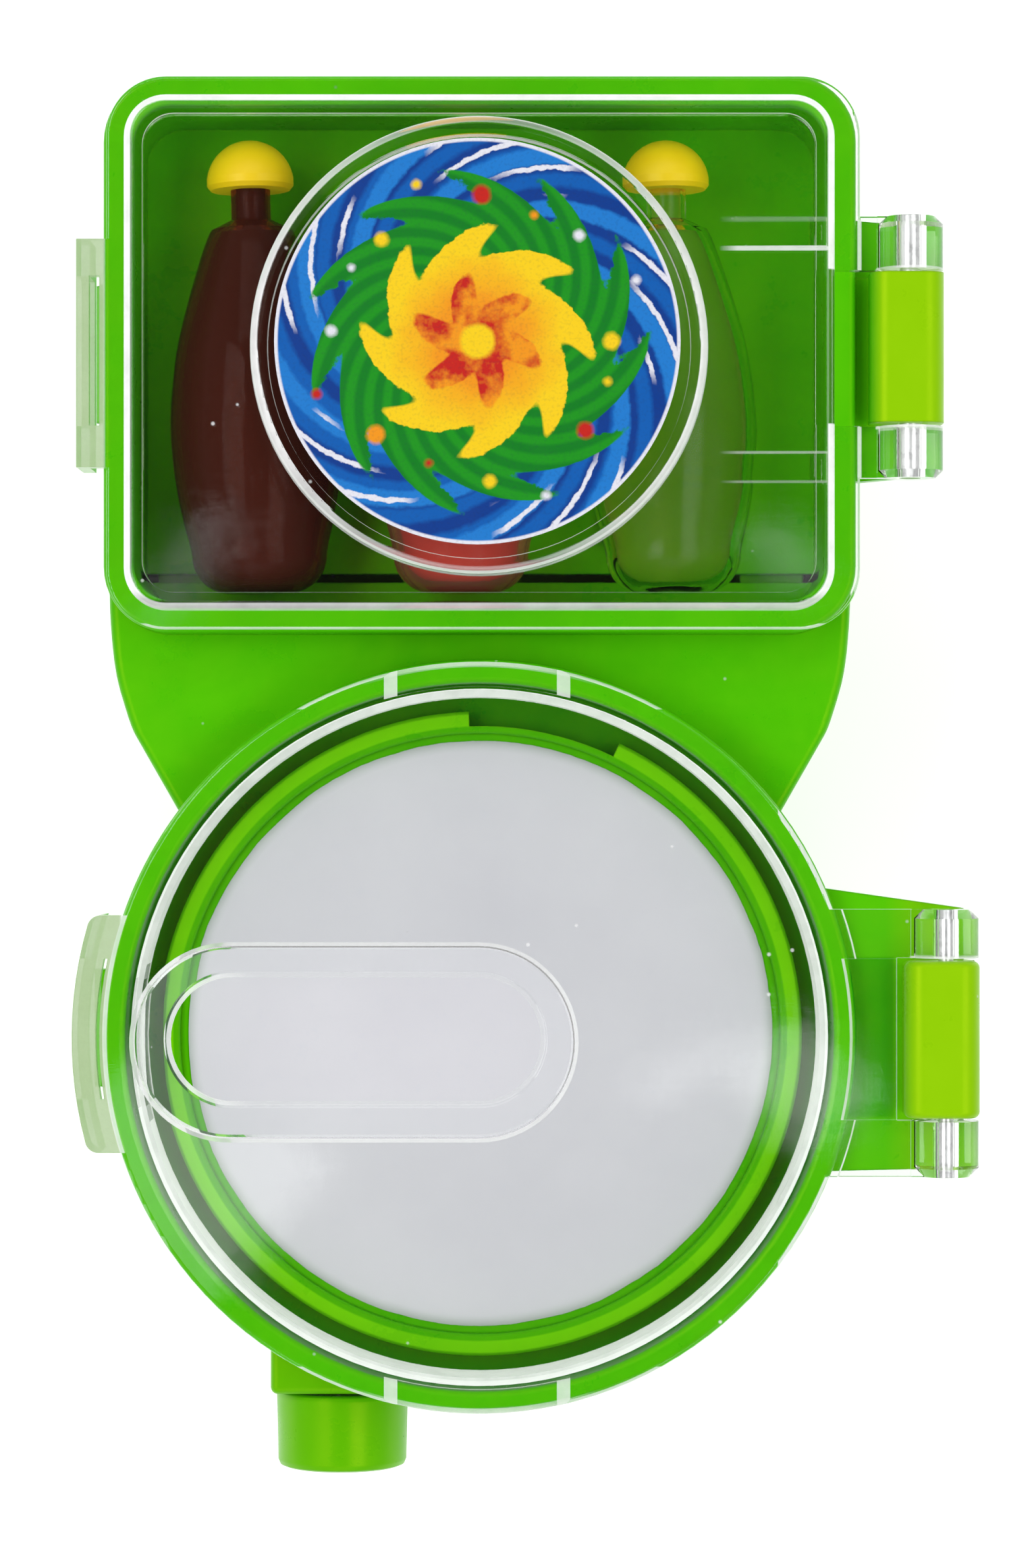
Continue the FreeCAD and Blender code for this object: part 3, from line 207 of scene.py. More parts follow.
    def lets_light(self, shader, shade):
        """The same surface, but lamps shine on through it with this tint, and so does light from what it covers."""
        see = self.node("ShaderNodeBsdfTransparent")
        see.inputs["Color"].default_value = shade
        path = self.node("ShaderNodeLightPath")
        inner = self.mix_shader(path.outputs["Is Diffuse Ray"], shader, see.outputs[0])
        return self.mix_shader(path.outputs["Is Shadow Ray"], inner, see.outputs[0])

    def surface(self, socket):
        self.link(socket, self.out.inputs["Surface"])
        return self.mat


def srgb(r, g, b):
    def one(c):
        c /= 255.0
        return c / 12.92 if c <= 0.04045 else ((c + 0.055) / 1.055) ** 2.4
    return (one(r), one(g), one(b), 1.0)


# ---------------------------------------------------------------------------
# materials
# ---------------------------------------------------------------------------
def moulded(name, main, deep, rough=(0.26, 0.4), sss=0.0, grain=2600.0, peel=0.06, soft_edge=0.0, case=False, tray=False,
            gloss_tint=None, painted_glow=0.0):
    """Injection moulded opaque plastic: faint flow marks, orange peel, rubbed patches and a little dust. With case or
    tray it gets painted shade in deep places and a painted highlight on the hinge barrels, and the glow setting makes
    it give off painted light in its own colour.
    """
    t = Tree(name)
    flow = t.noise(90.0, 4.0, 0.6, distort=0.6)
    colour = t.mix(t.range(flow, 0.0, 1.0, 0.35, 0.7), deep, main)
    if case:
        # painted shade: the channel round the turntable and the recess of the lid's hinge plate are darkened in the
        # colour, standing in for the shade deep in them
        x, y, z = t.xyz()
        ring = t.both(t.below(t.radius(), 23.95, 0.05), t.below(z, 31.5, 0.15), t.above(z, 24.0, 0.5))
        colour = t.mix(t.math("MULTIPLY", ring, 0.93), colour, srgb(10, 128, 6))
        recess_shade = t.both(t.within(x, 24.9, 28.0, 0.1), t.within(y, -5.5, 5.3, 0.1), t.above(z, 28.0, 0.1), t.below(z, 31.7, 0.1))
        colour = t.mix(t.math("MULTIPLY", recess_shade, 0.8), colour, srgb(22, 160, 2))
        # painted highlight: the hinge barrels are coloured lighter and more yellow, standing in for the light they
        # catch
        barrel_highlight = t.both(t.either(t.above(x, 28.3, 0.9), t.both(t.above(y, 20.0), t.above(x, 26.5, 0.4))), t.above(z, 29.9, 0.2))
        colour = t.mix(t.math("MULTIPLY", barrel_highlight, 0.85), colour, (0.31, 0.63, 0.002))
    if tray:
        # painted shade: a darker band on the tray just outside the paper, standing in for the shade along the paper's
        # edge
        inner = t.both(t.below(t.radius(), 20.92, 0.06), t.above(t.radius(), 19.0, 0.05))
        colour = t.mix(t.math("MULTIPLY", inner, 0.8), colour, srgb(46, 168, 2))
    rub = t.noise(260.0, 5.0, 0.65)
    fine = t.noise(grain, 2.0, 0.5)
    wave = t.noise(340.0, 2.0, 0.4)
    roughness = t.range(rub, rough[0], rough[1], 0.35, 0.7)
    first = None
    if soft_edge:
        bevel = t.node("ShaderNodeBevel")
        bevel.samples = 3
        bevel.inputs["Radius"].default_value = soft_edge
        first = bevel.outputs[0]
    n1 = t.bump(fine, peel, 0.00004, first)
    n2 = t.bump(wave, 0.10, 0.00012, n1)
    colour = t.mix(t.math("MULTIPLY", t.specks(900.0, 0.09, 0.03), 0.5), colour, (0.7, 0.75, 0.68))
    p = t.principled(Base_Color=colour, Roughness=roughness, Normal=n2, IOR=1.5)
    if gloss_tint:
        p.inputs["Specular Tint"].default_value = gloss_tint
    # painted light: the plastic can glow in its own colour, with no lamp to cause it
    if painted_glow:
        p.inputs["Emission Color"].default_value = main
        p.inputs["Emission Strength"].default_value = painted_glow
    if sss:
        p.inputs["Subsurface Weight"].default_value = sss
        p.inputs["Subsurface Radius"].default_value = (0.35, 1.0, 0.12)
        p.inputs["Subsurface Scale"].default_value = 0.0012
    return t.surface(p.outputs[0])


def clear_shader(t, tint, rough, ior, white, shade, loop, bright, scratch=0.05, ripple=0.04):
    """Clear moulded plastic. white: where the edges get a painted highlight, a pale glowing layer standing in for the
    light
    that the moulded edges gather. loop: where the latch loops get a painted green reflection of the case beside them.
    bright: where the painted edge glow is strongest."""
    long = t.noise(900.0, 6.0, 0.75, t.stretch(0.25, 3.0, 1.0))
    cross = t.noise(900.0, 6.0, 0.75, t.stretch(3.0, 0.3, 1.0))
    lines = t.math("MAXIMUM", long, cross)
    marks = t.range(lines, 0.0, 1.0, 0.66, 0.8)
    patch = t.range(t.noise(120.0, 3.0, 0.5), 0.0, 1.0, 0.45, 0.7)
    amount = t.math("MULTIPLY", marks, patch)
    roughness = t.math("MULTIPLY_ADD", amount, rough[1] * 3.0, rough[0])
    n1 = t.bump(lines, scratch, 0.00002)
    n2 = t.bump(t.noise(210.0, 2.0, 0.5), ripple, 0.0002, n1)
    p = t.principled(Base_Color=tint, Roughness=roughness, Normal=n2, IOR=ior)
    p.inputs["Transmission Weight"].default_value = 1.0
    streaks = t.range(t.noise(500.0, 4.0, 0.6), 0.82, 1.0, 0.3, 0.65)
    # the dust specks are real dust, but they take the same pale glowing layer as the painted edge highlight
    dust = t.math("MULTIPLY", t.specks(620.0, 0.075, 0.035), 0.55)
    fac = t.either(t.math("MULTIPLY", white, streaks), dust)
    # painted highlight: the edge layer is pale and glows with its own light; on the latch loops it is a painted green
    # reflection of the case
    edge_light_colour = t.mix(loop, (0.82, 0.825, 0.82), t.mix(t.noise(160.0, 3.0, 0.6), (0.36, 0.48, 0.25), (0.47, 0.57, 0.37)))
    edge_light = t.principled(Base_Color=edge_light_colour, Roughness=0.32, Normal=n2, IOR=1.5)
    painted_glow = t.mix(loop, t.mix(bright, (0.42, 0.42, 0.42), (1.0, 1.0, 1.0)), (0.05, 0.13, 0.02))
    t.link(painted_glow, edge_light.inputs["Emission Color"])
    edge_light.inputs["Emission Strength"].default_value = 0.46
    return t.lets_light(t.mix_shader(fac, p.outputs[0], edge_light.outputs[0]), shade)


def round_lid_material():
    t = Tree("clear_round_lid")
    x, y, z = t.xyz()
    up = t.facing_up()
    r = t.radius()
    # distance from the middle line of the drip slot
    over = t.math("MAXIMUM", t.math("SUBTRACT", x, -0.05), t.math("SUBTRACT", -16.75, x))
    over = t.math("MAXIMUM", over, 0.0)
    dy = t.math("SUBTRACT", y, -0.3)
    d = t.math("SQRT", t.math("ADD", t.math("MULTIPLY", over, over), t.math("MULTIPLY", dy, dy)))
    slope = t.below(up, 0.965, 0.012)
    upper = t.above(z, 31.7, 0.05)
    slot_lip = t.both(slope, t.within(d, 6.43, 6.9, 0.02), t.above(z, 32.6, 0.02))
    slot_foot = t.both(t.below(z, 29.3, 0.05), t.below(d, 4.72, 0.03), t.below(t.radius(-8.4, -0.3), 15.5, 0.5))
    skirt = t.both(t.within(r, 22.7, 23.55, 0.02), t.below(z, 31.75, 0.02), t.inverse(t.both(t.below(d, 7.6), t.above(z, 28.6))))
    steps = t.both(slope, t.above(r, 24.6, 0.02), t.above(x, 20.0), t.below(x, 28.75, 0.02), upper)
    plate_edge = t.both(t.below(up, 0.5, 0.05), t.above(r, 25.6, 0.02), t.above(x, 20.0), t.below(x, 29.0, 0.02), upper)
    flats = t.both(slope, t.above(r, 23.4, 0.02), t.above(t.math("ABSOLUTE", y), 22.0), upper)
    flats_rim = t.both(t.above(r, 24.85, 0.02), t.above(t.math("ABSOLUTE", y), 24.6, 1.0), upper)
    tab = t.both(t.below(x, -24.0, 0.1), t.above(r, 25.25, 0.02))
    tab_line = t.both(t.below(x, -23.0, 0.1), t.within(r, 24.95, 25.3, 0.02), t.above(z, 32.8, 0.02),
                      t.within(y, -7.7, 8.2))
    lug_end = t.both(t.above(x, 28.9, 0.02), t.below(t.math("ABSOLUTE", t.math("SUBTRACT", t.math("ABSOLUTE", y), 5.35)), 0.12, 0.03))
    slot_foot = t.math("MULTIPLY", slot_foot, t.range(x, 0.75, 0.12, -18.5, -15.5))
    # painted highlight: white marks the lid's edges, walls and steps that get the pale glowing edge layer; tab also
    # gets a painted green reflection
    white = t.either(t.math("MULTIPLY", slot_lip, 0.62), slot_foot, t.math("MULTIPLY", skirt, 0.85),
                     t.math("MULTIPLY", steps, 0.8), t.math("MULTIPLY", plate_edge, 0.75), t.math("MULTIPLY", flats, 0.6),
                     t.math("MULTIPLY", flats_rim, 0.45), t.math("MULTIPLY", tab, 0.74), t.math("MULTIPLY", tab_line, 0.6),
                     t.math("MULTIPLY", lug_end, 0.4))
    return t.surface(clear_shader(t, (0.985, 0.993, 0.988), (0.012, 0.05), 1.54, white, (0.986, 0.992, 0.987, 1.0), tab, skirt))


def storage_lid_material():
    t = Tree("clear_storage_lid")
    x, y, z = t.xyz()
    up = t.facing_up()
    slope = t.below(up, 0.985, 0.008)
    gap = t.both(t.above(x, 22.4, 0.05), t.within(y, 41.0, 51.3, 0.05))
    raised = t.both(slope, t.within(z, 33.02, 34.58, 0.01), t.below(t.math("ABSOLUTE", x), 23.9, 0.02), t.inverse(gap))
    front = t.below(y, 29.6, 0.3)
    raised = t.math("MULTIPLY", raised, t.range(front, 0.86, 0.5))
    rb = t.radius(0.0, 46.1)
    side = t.math("DIVIDE", t.math("ABSOLUTE", x), 15.3)
    boss = t.both(slope, t.above(rb, 14.55, 0.03), t.below(rb, 15.6, 0.03), t.above(z, 34.7, 0.02))
    boss = t.math("MULTIPLY", boss, t.range(side, 0.22, 0.82, 0.25, 0.9))
    rib = t.both(slope, t.above(x, 15.9, 0.05), t.within(z, 34.62, 34.95, 0.01), t.below(x, 23.4, 0.05), t.above(rb, 15.6))
    strong = t.within(y, 52.5, 53.0, 0.03)
    rib = t.both(rib, t.range(strong, 0.28, 0.85), t.range(x, 0.15, 1.0, 16.2, 18.6))
    side_edge = t.both(slope, t.within(x, 25.1, 25.5, 0.02), t.above(z, 32.5, 0.03), t.either(t.above(y, 51.2), t.below(y, 41.1)))
    front_edge = t.both(slope, t.below(y, 27.75, 0.03), t.above(z, 32.5, 0.03))
    tab = t.below(x, -25.15, 0.05)
    lug_end = t.both(t.above(x, 26.6, 0.02), t.either(t.within(y, 51.25, 51.55), t.within(y, 40.8, 41.05)))
    arm_line = t.both(t.within(x, 25.32, 25.6, 0.03), t.above(z, 32.7, 0.03),
                      t.either(t.within(y, 51.4, 54.8), t.within(y, 37.5, 40.9)))
    # the ribs' long edges
    edges = t.both(t.above(x, 16.6, 0.6), t.below(x, 23.3, 0.05), t.above(z, 34.5, 0.03), t.above(rb, 15.7, 0.1))
    rib_lines = t.either(t.math("MULTIPLY", t.within(y, 52.52, 52.82, 0.03), 0.7), t.math("MULTIPLY", t.within(y, 54.45, 54.75, 0.08), 0.13),
                         t.math("MULTIPLY", t.within(y, 38.98, 39.16, 0.03), 0.3), t.math("MULTIPLY", t.within(y, 37.04, 37.2, 0.03), 0.2))
    rib_lines = t.math("MULTIPLY", edges, rib_lines)
    # painted highlight: white marks the lid's edges, walls and ribs that get the pale glowing edge layer; tab also gets
    # a painted green reflection
    white = t.either(raised, boss, rib, rib_lines, t.math("MULTIPLY", front_edge, 0.55), t.math("MULTIPLY", side_edge, 0.45),
                     t.math("MULTIPLY", tab, 0.7), t.math("MULTIPLY", lug_end, 0.5), t.math("MULTIPLY", arm_line, 0.65))
    return t.surface(clear_shader(t, (0.985, 0.993, 0.985), (0.012, 0.05), 1.54, white, (0.986, 0.992, 0.987, 1.0), tab, raised))


def metal(name, colour, rough=(0.16, 0.34), axis=(1.0, 0.05, 1.0), scale=2200.0):
    t = Tree(name)
    grain = t.noise(scale, 3.0, 0.6, t.stretch(*axis))
    spots = t.noise(1500.0, 4.0, 0.6)
    base = t.mix(t.range(spots, 0.0, 0.75, 0.5, 0.72), colour, tuple(c * 0.45 for c in colour[:3]))
    n = t.bump(grain, 0.12, 0.00003)
    p = t.principled(Base_Color=base, Metallic=1.0, Roughness=t.range(grain, rough[0], rough[1], 0.3, 0.7), Normal=n)
    return t.surface(p.outputs[0])


GREEN_MAIN, GREEN_DEEP = (0.078, 0.56, 0.002, 1.0), (0.062, 0.51, 0.002, 1.0)
GREEN_GLOSS = (1.0, 0.93, 0.04, 1.0)
GREEN = moulded("green_plastic", (0.15, 0.58, 0.002, 1.0), (0.12, 0.53, 0.002, 1.0), soft_edge=0.00022, gloss_tint=GREEN_GLOSS)
BASE_GREEN = moulded("green_cover", (0.15, 0.58, 0.002, 1.0), (0.12, 0.53, 0.002, 1.0), gloss_tint=GREEN_GLOSS)
CASE = moulded("green_case", GREEN_MAIN, GREEN_DEEP, soft_edge=0.00022, case=True, gloss_tint=GREEN_GLOSS)
TRAY = moulded("green_tray", (0.17, 0.66, 0.002, 1.0), (0.14, 0.61, 0.002, 1.0), soft_edge=0.0002, tray=True, gloss_tint=GREEN_GLOSS)
WHITE = moulded("white_gear_plastic", srgb(232, 231, 224), srgb(214, 212, 202), (0.35, 0.5))
CLEAR_ROUND = round_lid_material()
CLEAR_STORE = storage_lid_material()
STEEL = metal("pin_steel", (0.80, 0.80, 0.81, 1.0), (0.3, 0.45))
SCREW = metal("screw_steel", (0.62, 0.62, 0.63, 1.0), (0.22, 0.42), (1.0, 1.0, 1.0), 1500.0)
BRASS = metal("bush_brass", (0.80, 0.60, 0.28, 1.0))
# painted light: the caps glow a little in their own colour, standing in for the light that the lid and label keep from
# them
CAP_YELLOW = moulded("cap_yellow", srgb(250, 218, 24), srgb(238, 196, 14), (0.3, 0.45), gloss_tint=(1.0, 0.95, 0.5, 1.0), painted_glow=0.15)
CAP_ORANGE = moulded("cap_orange", srgb(250, 196, 20), srgb(232, 166, 14), (0.3, 0.45), gloss_tint=(1.0, 0.95, 0.5, 1.0), painted_glow=0.2)


def squeeze_bottle(name, tint, clear=1.0):
    t = Tree(name)
    wave = t.noise(150.0, 3.0, 0.5, t.stretch(1.0, 0.35, 1.0))
    n = t.bump(wave, 0.25, 0.0004)
    p = t.principled(Base_Color=tint, Roughness=t.range(t.noise(400.0), 0.03, 0.09, 0.3, 0.7), Normal=n, IOR=1.13)
    p.inputs["Transmission Weight"].default_value = clear
    return t.surface(t.lets_light(p.outputs[0], (tint[0] * 0.96, tint[1] * 0.96, tint[2] * 0.96, 1.0)))


def liquid(name, main, deep, see_through, shade):
    """Thin paint in a bottle, streaked where the pigment has settled."""
    t = Tree(name)
    streak = t.noise(160.0, 5.0, 0.6, t.stretch(1.0, 0.3, 1.0), distort=0.8)
    colour = t.mix(t.range(streak, 0.0, 1.0, 0.35, 0.68), deep, main)
    p = t.principled(Base_Color=colour, Roughness=t.range(streak, 0.1, 0.25), IOR=1.2)
    p.inputs["Transmission Weight"].default_value = see_through
    return t.surface(t.lets_light(p.outputs[0], shade))


BOTTLE = squeeze_bottle("bottle_shell", (0.98, 0.965, 0.93))
BOTTLE_RED = squeeze_bottle("bottle_shell_stained", (0.42, 0.11, 0.06), 0.9)
BOTTLE_PINK = squeeze_bottle("bottle_shell_pink", (0.9, 0.34, 0.26), 0.85)
MAROON = liquid("paint_maroon", srgb(94, 32, 22), srgb(66, 17, 14), 0.2, (0.4, 0.08, 0.05, 1.0))
RED = liquid("paint_red", srgb(236, 60, 40), srgb(214, 40, 26), 0.15, (0.85, 0.12, 0.07, 1.0))
LIME = liquid("paint_lime", srgb(246, 246, 130), srgb(238, 240, 106), 0.955, (0.95, 0.98, 0.6, 1.0))


def paper_material():
    t = Tree("paper_card")
    fibre = t.noise(1500.0, 6.0, 0.7)
    cloud = t.noise(70.0, 4.0, 0.55)
    colour = t.mix(t.range(cloud, 0.0, 1.0, 0.3, 0.7), srgb(212, 211, 218), srgb(220, 219, 225))
    colour = t.mix(t.range(fibre, 0.0, 0.35, 0.55, 0.8), colour, srgb(208, 210, 220))
    p = t.principled(Base_Color=colour, Roughness=0.82, Normal=t.bump(fibre, 0.25, 0.00004))
    p.inputs["Specular IOR Level"].default_value = 0.25
    return t.surface(p.outputs[0])


PAPER = paper_material()


def label_material(cx, cy, rad):
    """A printed sticker: curling petals of bright colour round a small flower, with a ring of drops."""
    t = Tree("label_print")
    xyz = t.node("ShaderNodeSeparateXYZ")
    t.link(t.coords(), xyz.inputs[0])
    x = t.math("MULTIPLY", t.math("SUBTRACT", xyz.outputs[0], cx), 1.0 / rad)
    y = t.math("MULTIPLY", t.math("SUBTRACT", xyz.outputs[1], cy), 1.0 / rad)
    r = t.math("SQRT", t.math("ADD", t.math("MULTIPLY", x, x), t.math("MULTIPLY", y, y)))
    a = t.math("ARCTAN2", y, x)
    jag = t.math("MULTIPLY", t.math("SUBTRACT", t.noise(1400.0, 3.0, 0.6), 0.5), 0.16)
    blot = t.noise(420.0, 4.0, 0.6)

    def wheel(count, twist, shift=0.0, wobble=0.0):
        """0 to 1 and back, count times round, curling with the radius."""
        turn = t.math("MULTIPLY_ADD", r, twist, a)
        turn = t.math("ADD", turn, t.math("MULTIPLY", jag, wobble))
        turn = t.math("MULTIPLY_ADD", turn, float(count), shift)
        return t.math("MULTIPLY_ADD", t.math("SINE", turn), 0.5, 0.5)

    def disc(px, py, size, soft=0.012):
        dx = t.math("SUBTRACT", x, px)
        dy = t.math("SUBTRACT", y, py)
        d = t.math("SQRT", t.math("ADD", t.math("MULTIPLY", dx, dx), t.math("MULTIPLY", dy, dy)))
        return t.below(t.math("ADD", d, t.math("MULTIPLY", jag, 0.12)), size, soft)

    blue, deep, sky = srgb(8, 92, 176), srgb(6, 58, 140), srgb(30, 122, 204)
    green, leaf = srgb(10, 124, 30), srgb(26, 146, 26)
    yellow, orange, red, white = srgb(246, 206, 26), srgb(240, 150, 26), srgb(196, 34, 26), srgb(228, 228, 238)
    rj = t.math("ADD", r, t.math("MULTIPLY", jag, 0.35))
    # rim: curling streaks of three blues, with thin pale flicks between some of them
    col = t.mix(t.above(wheel(17, 2.4, 0.0, 0.4), 0.5, 0.25), blue, deep)
    col = t.mix(t.above(wheel(9, 2.4, 1.1, 0.5), 0.78, 0.08), col, sky)
    flick = t.math("MULTIPLY", t.above(wheel(17, 2.4, 0.4, 0.5), 0.93, 0.03), t.above(wheel(5, 0.0, 0.7), 0.35, 0.1))
    col = t.mix(t.math("MULTIPLY", flick, t.above(rj, 0.82, 0.03)), col, white)
    # green petals that curl the other way
    g_edge = t.math("MULTIPLY_ADD", wheel(11, -2.6, 0.5, 0.6), 0.17, 0.68)
    col = t.mix(t.below(rj, g_edge, 0.008), col, t.mix(t.above(wheel(22, -2.6, 0.2), 0.5, 0.3), green, leaf))
    # yellow petals
    y_edge = t.math("MULTIPLY_ADD", wheel(8, 2.8, 2.1, 0.6), 0.16, 0.42)
    col = t.mix(t.below(rj, y_edge, 0.008), col, t.mix(t.above(t.math("ADD", r, t.math("MULTIPLY", blot, 0.2)), 0.42, 0.12), orange, yellow))
    # red flower
    f_edge = t.math("MULTIPLY_ADD", wheel(6, 1.4, 0.9, 0.5), 0.17, 0.16)
    col = t.mix(t.below(rj, f_edge, 0.01), col, t.mix(t.above(blot, 0.52, 0.08), red, orange))
    col = t.mix(disc(0.0, 0.0, 0.085), col, yellow)
    # thrown drops
    drops = [(0.66, 0.0, 0.04, yellow), (0.5, 0.52, 0.026, white), (0.02, 0.72, 0.045, red), (-0.47, 0.5, 0.034, yellow),
             (-0.72, 0.05, 0.026, white), (-0.5, -0.46, 0.044, orange), (0.06, -0.69, 0.03, yellow), (0.53, -0.44, 0.04, red),
             (0.78, 0.3, 0.02, white), (-0.3, 0.77, 0.022, yellow), (-0.79, -0.26, 0.024, red), (0.34, -0.76, 0.02, white),
             (0.28, 0.62, 0.018, orange), (-0.62, 0.36, 0.016, white), (-0.24, -0.6, 0.018, red), (0.64, -0.2, 0.018, yellow)]
    for px, py, size, c in drops:
        col = t.mix(disc(px, py, size), col, c)
    # printed rim line and paper edge
    col = t.mix(t.above(r, 0.983, 0.004), col, white)
    dots = t.noise(5200.0, 1.0, 0.4)
    col = t.mix(t.range(dots, 0.0, 0.14, 0.5, 0.75), col, srgb(30, 40, 60))
    p = t.principled(Base_Color=col, Roughness=t.range(t.noise(800.0), 0.32, 0.46), Normal=t.bump(t.noise(900.0), 0.05, 0.00005))
    p.inputs["Specular IOR Level"].default_value = 0.18
    return t.surface(p.outputs[0])


lo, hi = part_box("label")
LABEL = label_material((lo[0] + hi[0]) / 2, (lo[1] + hi[1]) / 2, (hi[0] - lo[0]) / 2)

WEAR = {
    CASE: ["upper_case"],
    GREEN: ["crank_arm", "crank_grip"],
    BASE_GREEN: ["bottom_cover"],
    TRAY: ["turntable"],
    WHITE: ["gear_frame", "thrust_washer", "crank_gear", "layshaft_pinion", "crown_gear", "spindle_pinion"],
    CLEAR_ROUND: ["round_lid"], CLEAR_STORE: ["storage_lid"],
    STEEL: ["storage_hinge_pin", "round_hinge_pin", "spindle", "layshaft", "crank_shaft", "spindle_clip", "crank_clip"],
    SCREW: ["cover_screws", "frame_screws", "crank_screw", "grip_pin"],
    BRASS: ["crank_bush", "spindle_bush"],
    CAP_YELLOW: ["cap_left", "cap_right"], CAP_ORANGE: ["cap_middle"],
    BOTTLE: ["bottle_right"], BOTTLE_RED: ["bottle_left"], BOTTLE_PINK: ["bottle_middle"],
    MAROON: ["paint_left"], RED: ["paint_middle"], LIME: ["paint_right"],
    PAPER: ["paper_disc"], LABEL: ["label"],
}
for mat, names in WEAR.items():
    for n in names:
        o = NODES[n]
        if not o.material_slots:
            o.data.materials.append(mat)
        for s in o.material_slots:
            s.material = mat


# ---------------------------------------------------------------------------
# pieces made here
# ---------------------------------------------------------------------------
def add_object(name, bm, mat):
    me = bpy.data.meshes.new(name)
    bm.to_mesh(me)
    bm.free()
    ob = bpy.data.objects.new(name, me)
    scene.collection.objects.link(ob)
    me.materials.append(mat)
    return ob


def paper_piece():
    """The loose paper disc: hand-cut edge, lying a little wavy on its seat."""
    lo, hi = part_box("paper_disc")
    cx, cy = (lo[0] + hi[0]) / 2, (lo[1] + hi[1]) / 2
    rad = (hi[0] - lo[0]) / 2
    bm = bmesh.new()
    rings, spokes = 26, 240
    top, low = [], []
    for layer, z in ((top, hi[2]), (low, lo[2])):
        for i in range(rings + 1):
            f = i / rings
            row = []
            for k in range(spokes):
                a = 2 * math.pi * k / spokes
                cutr = rad * (0.9965 + 0.0033 * noise.noise(Vector((7 * math.cos(a), 7 * math.sin(a), 3.3)))
                              + 0.0018 * noise.noise(Vector((40 * math.cos(a), 40 * math.sin(a), 9.1))))
                rr = max(f, 0.004) * min(cutr, rad)
                x, y = cx + rr * math.cos(a), cy + rr * math.sin(a)
                dz = 0.00004 * noise.noise(Vector((x * 90, y * 90, 1.7))) * (1 - f ** 8)
                if layer is top:
                    zz = z - 0.00005 + dz - (0.00003 if i == rings else 0.0)
                else:
                    zz = z + 0.00001
                row.append(bm.verts.new((x, y, zz)))
            layer.append(row)
    for layer, flip in ((top, False), (low, True)):
        for i in range(rings):
            for k in range(spokes):
                q = [layer[i][k], layer[i + 1][k], layer[i + 1][(k + 1) % spokes], layer[i][(k + 1) % spokes]]
                bm.faces.new(q[::-1] if flip else q)
        bm.faces.new(layer[0][::-1] if flip else layer[0])
    for k in range(spokes):
        bm.faces.new([low[rings][k], low[rings][(k + 1) % spokes], top[rings][(k + 1) % spokes], top[rings][k]])
    ob = add_object("paper_sheet", bm, PAPER)
    for p in ob.data.polygons:
        p.use_smooth = True
    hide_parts("paper_disc")
    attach(ob, "turntable_set")
    return ob


paper_piece()


# ---------------------------------------------------------------------------
# stage, light and camera
# ---------------------------------------------------------------------------
def floor():
    bm = bmesh.new()
    s = 1.4
    vs = [bm.verts.new((x * s, y * s, -0.0001)) for x, y in ((-1, -1), (1, -1), (1, 1), (-1, 1))]
    bm.faces.new(vs)
    t = Tree("floor_paper")
    n = t.noise(14.0, 3.0)
    p = t.principled(Base_Color=t.mix(n, (0.70, 0.70, 0.70), (0.73, 0.73, 0.73)), Roughness=0.9)
    p.inputs["Specular IOR Level"].default_value = 0.1
    p.inputs["Emission Color"].default_value = (1.0, 1.0, 1.0, 1.0)
    p.inputs["Emission Strength"].default_value = 0.62
    # open from below, so that the underside can be seen
    back = t.node("ShaderNodeNewGeometry").outputs["Backfacing"]
    see = t.node("ShaderNodeBsdfTransparent")
    ob = add_object("floor", bm, t.surface(t.mix_shader(back, p.outputs[0], see.outputs[0])))
    return ob


floor()


def area(name, at, aim, size, power, colour=(1.0, 1.0, 1.0)):
    light = bpy.data.lights.new(name, "AREA")
    light.shape = "RECTANGLE"
    light.size, light.size_y = size
    light.energy = power
    light.color = colour
    ob = bpy.data.objects.new(name, light)
    ob.location = at
    ob.rotation_euler = (Vector(aim) - Vector(at)).to_track_quat("-Z", "Y").to_euler()
    scene.collection.objects.link(ob)
    return ob


area("key", (-0.215, 0.06, 0.40), (0.0, 0.02, 0.02), (0.34, 0.20), 0.77)
area("fill", (0.225, -0.02, 0.40), (0.0, 0.02, 0.02), (0.34, 0.20), 0.63)
area("back", (0.0, 0.33, 0.38), (0.0, 0.02, 0.02), (0.36, 0.18), 0.36)
area("front", (0.0, -0.29, 0.38), (0.0, 0.02, 0.02), (0.36, 0.18), 0.33)


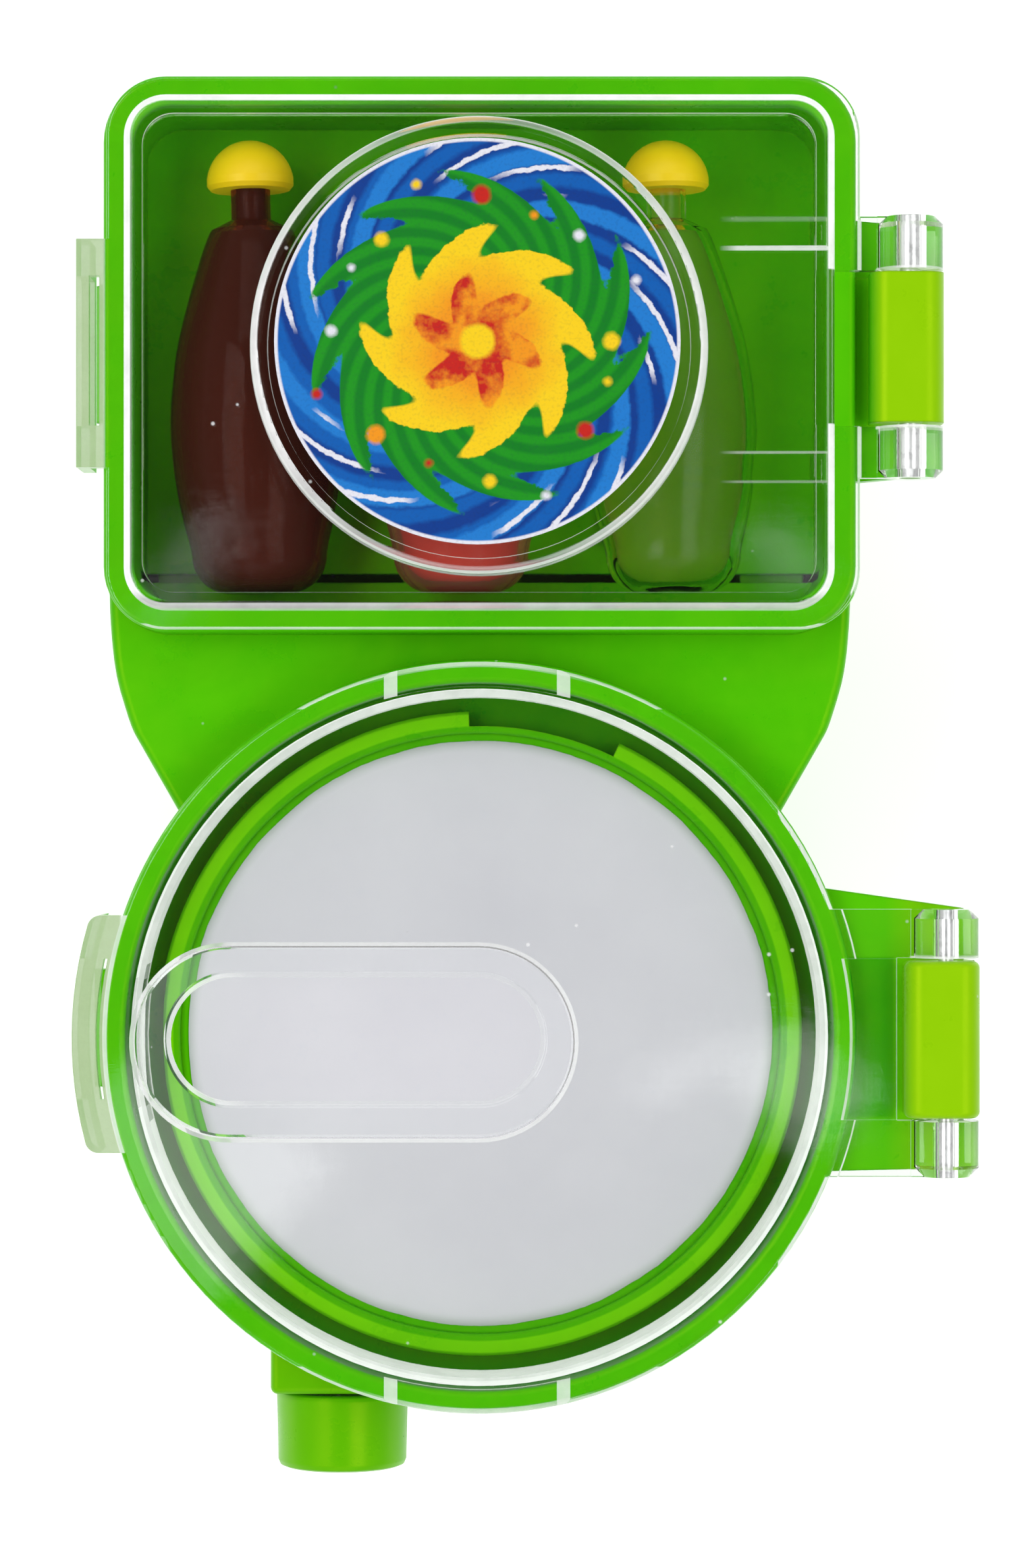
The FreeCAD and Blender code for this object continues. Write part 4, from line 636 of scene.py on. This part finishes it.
def card(name, centre, size, radiance, height=0.40):
    """A small soft card overhead whose mirror image falls on this place of the flat lid."""
    eye = Vector((0.00239, 0.0170, 0.3286))
    p = Vector((centre[0], centre[1], 0.033))
    k = height / (eye.z - p.z)
    at = Vector((p.x + (p.x - eye.x) * k, p.y + (p.y - eye.y) * k, p.z + height))
    w, h = size[0] * (1 + k), size[1] * (1 + k)
    return area(name, at, p, (w, h), radiance * math.pi * w * h)


card("card_store_right", (0.0205, 0.0322), (0.0050, 0.0026), 1.1)
card("card_store_left", (-0.0195, 0.0312), (0.0090, 0.0022), 0.9)
card("card_right", (0.0215, -0.0030), (0.0060, 0.0075), 1.8)
card("card_small", (0.0140, -0.0021), (0.0075, 0.0026), 1.0)
card("card_left", (-0.0197, -0.0085), (0.0145, 0.0125), 1.7)

world = bpy.data.worlds.new("studio")
scene.world = world
world.use_nodes = True
wt = world.node_tree
wt.nodes.clear()
w_out = wt.nodes.new("ShaderNodeOutputWorld")
w_bg = wt.nodes.new("ShaderNodeBackground")
w_co = wt.nodes.new("ShaderNodeTexCoord")
w_sp = wt.nodes.new("ShaderNodeSeparateXYZ")
w_rp = wt.nodes.new("ShaderNodeValToRGB")
wt.links.new(w_co.outputs["Generated"], w_sp.inputs[0])
wt.links.new(w_sp.outputs[2], w_rp.inputs[0])
cr = w_rp.color_ramp
cr.elements[0].position = 0.0
cr.elements[0].color = (0.8, 0.8, 0.8, 1)
cr.elements[1].position = 1.0
cr.elements[1].color = (0.05, 0.05, 0.052, 1)
for at, grey in ((0.6, 0.8), (0.94, 0.08)):
    e = cr.elements.new(at)
    e.color = (grey, grey, grey, 1)
wt.links.new(w_rp.outputs[0], w_bg.inputs["Color"])
w_bg.inputs["Strength"].default_value = 0.5
wt.links.new(w_bg.outputs[0], w_out.inputs[0])

cam_data = bpy.data.cameras.new("camera")
cam_data.sensor_fit = "AUTO"
cam_data.sensor_width = 36.0
cam_data.lens = 101.4
cam_data.clip_start = 0.01
cam = bpy.data.objects.new("camera", cam_data)
cam.location = (0.00239, 0.0170, 0.0325 + 0.2961)
cam.rotation_euler = (0.0, 0.0, 0.0)
scene.collection.objects.link(cam)
scene.camera = cam
scene.view_settings.view_transform = "Standard"
scene.view_settings.look = "None"
